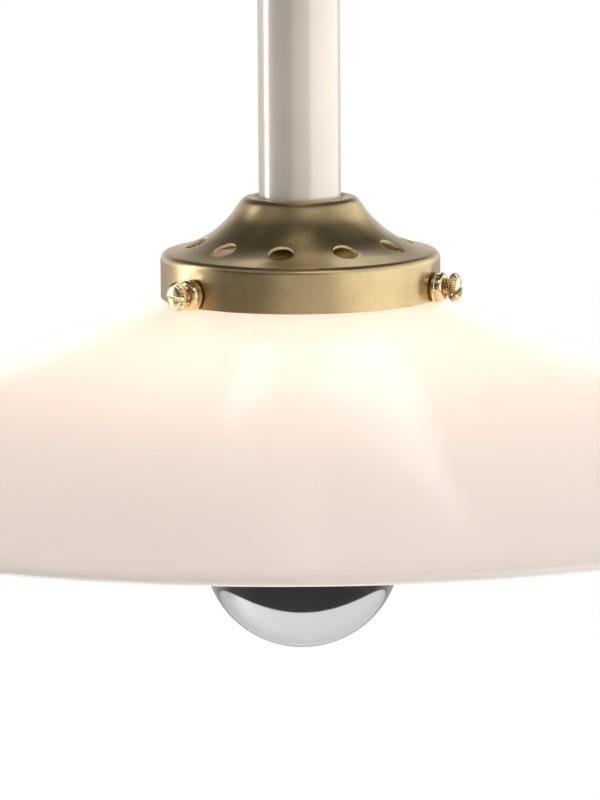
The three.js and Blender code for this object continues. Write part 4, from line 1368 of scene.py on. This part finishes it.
class PENDANT_OT_wires(bpy.types.Operator):
    """Adds the three insulated wires from the terminal block to the lampholder"""

    bl_idname = "pendant.wires"
    bl_label = "Wires"

    def execute(self, context):
        spread, reach, pitch = 1.75, 6.4, 9
        face = high("terminal_block")[1] / MM
        entry = sum(heights("terminal_block")) / 2
        nipple_top = heights("top_nipple")[1]
        end = heights("holder_core")[1] + 1.4
        top = nipple_top - 3
        bottom = heights("holder_cap")[1] - 7
        slots = {"wire_live": brown_wire, "wire_neutral": blue_wire, "wire_earth": green_wire}
        finishes = {"wire_live": "wire_brown", "wire_neutral": "wire_blue", "wire_earth": "wire_green"}
        for node, name, side, aside, way in WIRES:
            x = side * pitch
            dx, dy = (share * spread for share in aside)
            ex, ey = (share * reach for share in way)
            points = [(x, face - 2.2, entry), (x, face + 0.3, entry), (0.9 * x, face + 4, entry + 0.4)]
            points += [(0.5 * x + 0.5 * dx, 0.35 * face, entry + 0.2), (1.2 * dx, 1.1 * dy, nipple_top + 1.5)]
            run = (top, top - 6, top - 24, (top + bottom) / 2, bottom + 24, bottom + 6, bottom)
            points += [(dx, dy, z) for z in run]
            points += [(dx + 0.35 * (ex - dx), dy + 0.35 * (ey - dy), end + 3.2), (ex, ey, end)]
            lead = wire_tube(name, [tuple(c * MM for c in point) for point in points], 1.1 * MM)
            settle(lead, slots[node](), "fixture", finishes[node], node)
        return {"FINISHED"}


# ---------- stage ----------

# The camera: metres away, degrees up, degrees of downward tilt and of roll, and its lens in millimetres.
CAMERA_REACH = 1.761
CAMERA_RISE = 7.742
CAMERA_TILT = 8.798
CAMERA_ROLL = -0.4
CAMERA_LENS = 255.8

FLOOR_Z = -1.45
FLOOR_GLOW = 0.36

# Light under the shade, and the small lamps round the bulb's neck that warm the glass from inside.
UNDER_LIGHT = 3.8
NECK_GLOW = 0.11
NECK_LAMPS = 6
NECK_REACH = 0.047
NECK_DROP = 0.052

# The studio's brightness up its walls, (place from floor to ceiling, grey), behind and in front.
BEHIND = (
    (0.0, 0.05), (0.24, 0.06), (0.33, 0.36), (0.44, 0.48),
    (0.50, 1.0), (0.60, 1.0), (0.70, 0.25), (0.80, 0.06),
)
BEFORE = (
    (0.0, 0.05), (0.20, 0.04), (0.30, 0.20), (0.38, 0.74), (0.54, 0.74),
    (0.64, 0.22), (0.78, 0.10), (0.84, 0.55), (0.89, 0.55), (0.94, 0.08),
)


class PENDANT_OT_stage(bpy.types.Operator):
    """Adds the camera, the lights and the pale floor"""

    bl_idname = "pendant.stage"
    bl_label = "Stage"

    def execute(self, context):
        scene = context.scene
        scene.view_settings.view_transform = "Standard"
        elevation = rad(CAMERA_RISE)
        back, up = CAMERA_REACH * math.cos(elevation), CAMERA_REACH * math.sin(elevation)
        where = (-0.0004, -back, RIM_Z + up)
        bpy.ops.object.camera_add(location=where, rotation=(rad(90 - CAMERA_TILT), 0, 0))
        camera = context.object
        camera.name = "camera"
        camera.data.lens = CAMERA_LENS
        camera.data.sensor_width = 36
        camera.rotation_euler.rotate_axis("Z", rad(CAMERA_ROLL))
        scene.camera = camera

        deselect()
        middle = (0, 1.0, FLOOR_Z)
        bpy.ops.mesh.primitive_circle_add(vertices=96, radius=1.3, fill_type="NGON", location=middle)
        floor = context.object
        floor.name = "floor"
        pale = plain("pale_floor", (0.72, 0.71, 0.71), 0.6, 0.0, 20, 0.02, 0.02)
        shader = pale.node_tree.nodes["Principled BSDF"]
        shader.inputs["Emission Color"].default_value = (1, 0.98, 0.99, 1)
        shader.inputs["Emission Strength"].default_value = FLOOR_GLOW
        floor.data.materials.append(pale)
        # It bounces light and is reflected; to the camera its edge would cut across the white room.
        floor.visible_camera = False
        lights(scene)
        return {"FINISHED"}


def softbox(name, bearing, rise, reach, size, radiance, tint=(1, 1, 1), seen=True):
    """A rectangular light round the lamp: degrees from the front, degrees up, and a distance."""
    turn, up = rad(bearing), rad(rise)
    flat = reach * math.cos(up)
    where = (flat * math.sin(turn), -flat * math.cos(turn), RIM_Z + reach * math.sin(up))
    deselect()
    bpy.ops.object.light_add(type="AREA", location=where)
    lamp = bpy.context.object
    lamp.name = name
    lamp.data.shape = "RECTANGLE"
    lamp.data.size, lamp.data.size_y = size
    lamp.data.energy = radiance * math.pi * size[0] * size[1]
    lamp.data.color = tint
    lamp.rotation_euler = (rad(90 - rise), 0, turn)
    lamp.visible_camera = False
    lamp.visible_glossy = seen
    lamp.visible_transmission = seen
    return lamp


def lights(scene):
    """Adds the soft lights, the neck lamps and the studio's room."""
    softbox("right_softbox", 84, 14, 1.4, (4.0, 1.8), 1.0)
    softbox("left_strip", -105, 5, 1.3, (0.34, 1.6), 5.0)
    softbox("window_softbox", 177, 42, 1.25, (0.40, 0.53), 1.5)
    softbox("front_softbox", 22, 48, 1.5, (0.9, 0.3), 2.2)
    softbox("under_light", 180, -86, 0.92, (1.3, 1.3), UNDER_LIGHT, seen=False)
    for i in range(NECK_LAMPS):
        turn = rad(60 * i)
        spot = (NECK_REACH * math.cos(turn), NECK_REACH * math.sin(turn), RIM_Z - NECK_DROP)
        bpy.ops.object.light_add(type="POINT", location=spot)
        glow = bpy.context.object
        glow.name = f"neck_glow_{i + 1}"
        glow.data.energy = NECK_GLOW
        glow.data.shadow_soft_size = 0.012
        glow.data.color = (1.0, 0.83, 0.62)
        glow.visible_camera = False
        glow.visible_glossy = False
        glow.visible_transmission = True
    scene.world = bpy.data.worlds.new("studio")
    scene.world.use_nodes = True
    room(scene.world.node_tree)


def room(tree):
    """White behind for the camera; for light and reflections a studio, bright behind and dark above."""
    tree.nodes.clear()

    def add(kind, settings=None, **inputs):
        node = tree.nodes.new(kind)
        for key, value in (settings or {}).items():
            setattr(node, key, value)
        for key, value in inputs.items():
            feed(node.inputs[key], value)
        return node

    def feed(socket, value):
        if isinstance(value, bpy.types.NodeSocket):
            tree.links.new(value, socket)
        else:
            socket.default_value = value

    def curve(value, stops):
        half = add("ShaderNodeMath", {"operation": "MULTIPLY_ADD"})
        for socket, each in zip(half.inputs, (value, 0.5, 0.5)):
            feed(socket, each)
        node = add("ShaderNodeValToRGB", Fac=half.outputs[0])
        elements = node.color_ramp.elements
        while len(elements) < len(stops):
            elements.new(0.5)
        for element, (position, grey) in zip(elements, stops):
            element.position = position
            element.color = (grey, grey, grey, 1)
        return node.outputs["Color"]

    def blend(kind, factor, first, second):
        node = add("ShaderNodeMix", {"data_type": "RGBA", "blend_type": kind})
        for socket, value in zip((node.inputs[0], node.inputs[6], node.inputs[7]), (factor, first, second)):
            feed(socket, value)
        return node.outputs[2]

    way = add("ShaderNodeTexCoord").outputs["Generated"]
    _, along, up = add("ShaderNodeSeparateXYZ", Vector=way).outputs
    flag = add("ShaderNodeVectorMath", {"operation": "DOT_PRODUCT"})
    feed(flag.inputs[0], way)
    flag.inputs[1].default_value = (-0.777, -0.629, 0)
    shade = curve(flag.outputs["Value"], ((0.88, 1.0), (0.96, 0.30)))
    sky = blend("MIX", curve(along, ((0.36, 0.0), (0.60, 1.0))), curve(up, BEFORE), curve(up, BEHIND))
    sky = blend("MULTIPLY", 1.0, sky, shade)
    sky = blend("MULTIPLY", 1.0, sky, (1.0, 0.975, 0.95, 1))
    around = add("ShaderNodeBackground", Color=sky, Strength=1.0)
    seen = add("ShaderNodeBackground", Color=(1, 1, 1, 1), Strength=1.0)
    mix = add("ShaderNodeMixShader", Fac=add("ShaderNodeLightPath").outputs["Is Camera Ray"])
    feed(mix.inputs[1], around.outputs[0])
    feed(mix.inputs[2], seen.outputs[0])
    add("ShaderNodeOutputWorld", Surface=mix.outputs[0])


# ---------- panel and registration ----------

BUILD_ORDER = (
    PENDANT_OT_stage,
    PENDANT_OT_stem,
    PENDANT_OT_gallery,
    PENDANT_OT_thumbscrews,
    PENDANT_OT_shade,
    PENDANT_OT_bulb,
    PENDANT_OT_bulb_cap,
    PENDANT_OT_filaments,
    PENDANT_OT_lampholder,
    PENDANT_OT_ceiling,
    PENDANT_OT_fixings,
    PENDANT_OT_terminal_block,
    PENDANT_OT_canopy,
    PENDANT_OT_wires,
)


class PENDANT_PT_panel(bpy.types.Panel):
    """Lists the pendant's pieces in the sidebar"""

    bl_idname = "PENDANT_PT_panel"
    bl_label = "Opal Pendant Light"
    bl_space_type = "VIEW_3D"
    bl_region_type = "UI"
    bl_category = "Pendant"

    def draw(self, context):
        layout = self.layout
        for operator in BUILD_ORDER:
            layout.operator(operator.bl_idname)
        for group in (context.scene.pendant_sizes, context.scene.pendant_colours):
            box = layout.box()
            for key in group.bl_rna.properties.keys():
                if key not in {"rna_type", "name"}:
                    box.prop(group, key)


CLASSES = (PendantSizes, PendantColours, *BUILD_ORDER, PENDANT_PT_panel)


def register():
    """Registers the classes and hangs the settings on the scene."""
    for each in CLASSES:
        bpy.utils.register_class(each)
    bpy.types.Scene.pendant_sizes = bpy.props.PointerProperty(type=PendantSizes)
    bpy.types.Scene.pendant_colours = bpy.props.PointerProperty(type=PendantColours)


def unregister():
    """Undoes register."""
    del bpy.types.Scene.pendant_colours
    del bpy.types.Scene.pendant_sizes
    for each in reversed(CLASSES):
        bpy.utils.unregister_class(each)


def main():
    """Builds the pendant piece by piece."""
    register()
    for operator in BUILD_ORDER:
        group, name = operator.bl_idname.split(".")
        getattr(getattr(bpy.ops, group), name)()


if __name__ == "__main__":
    main()
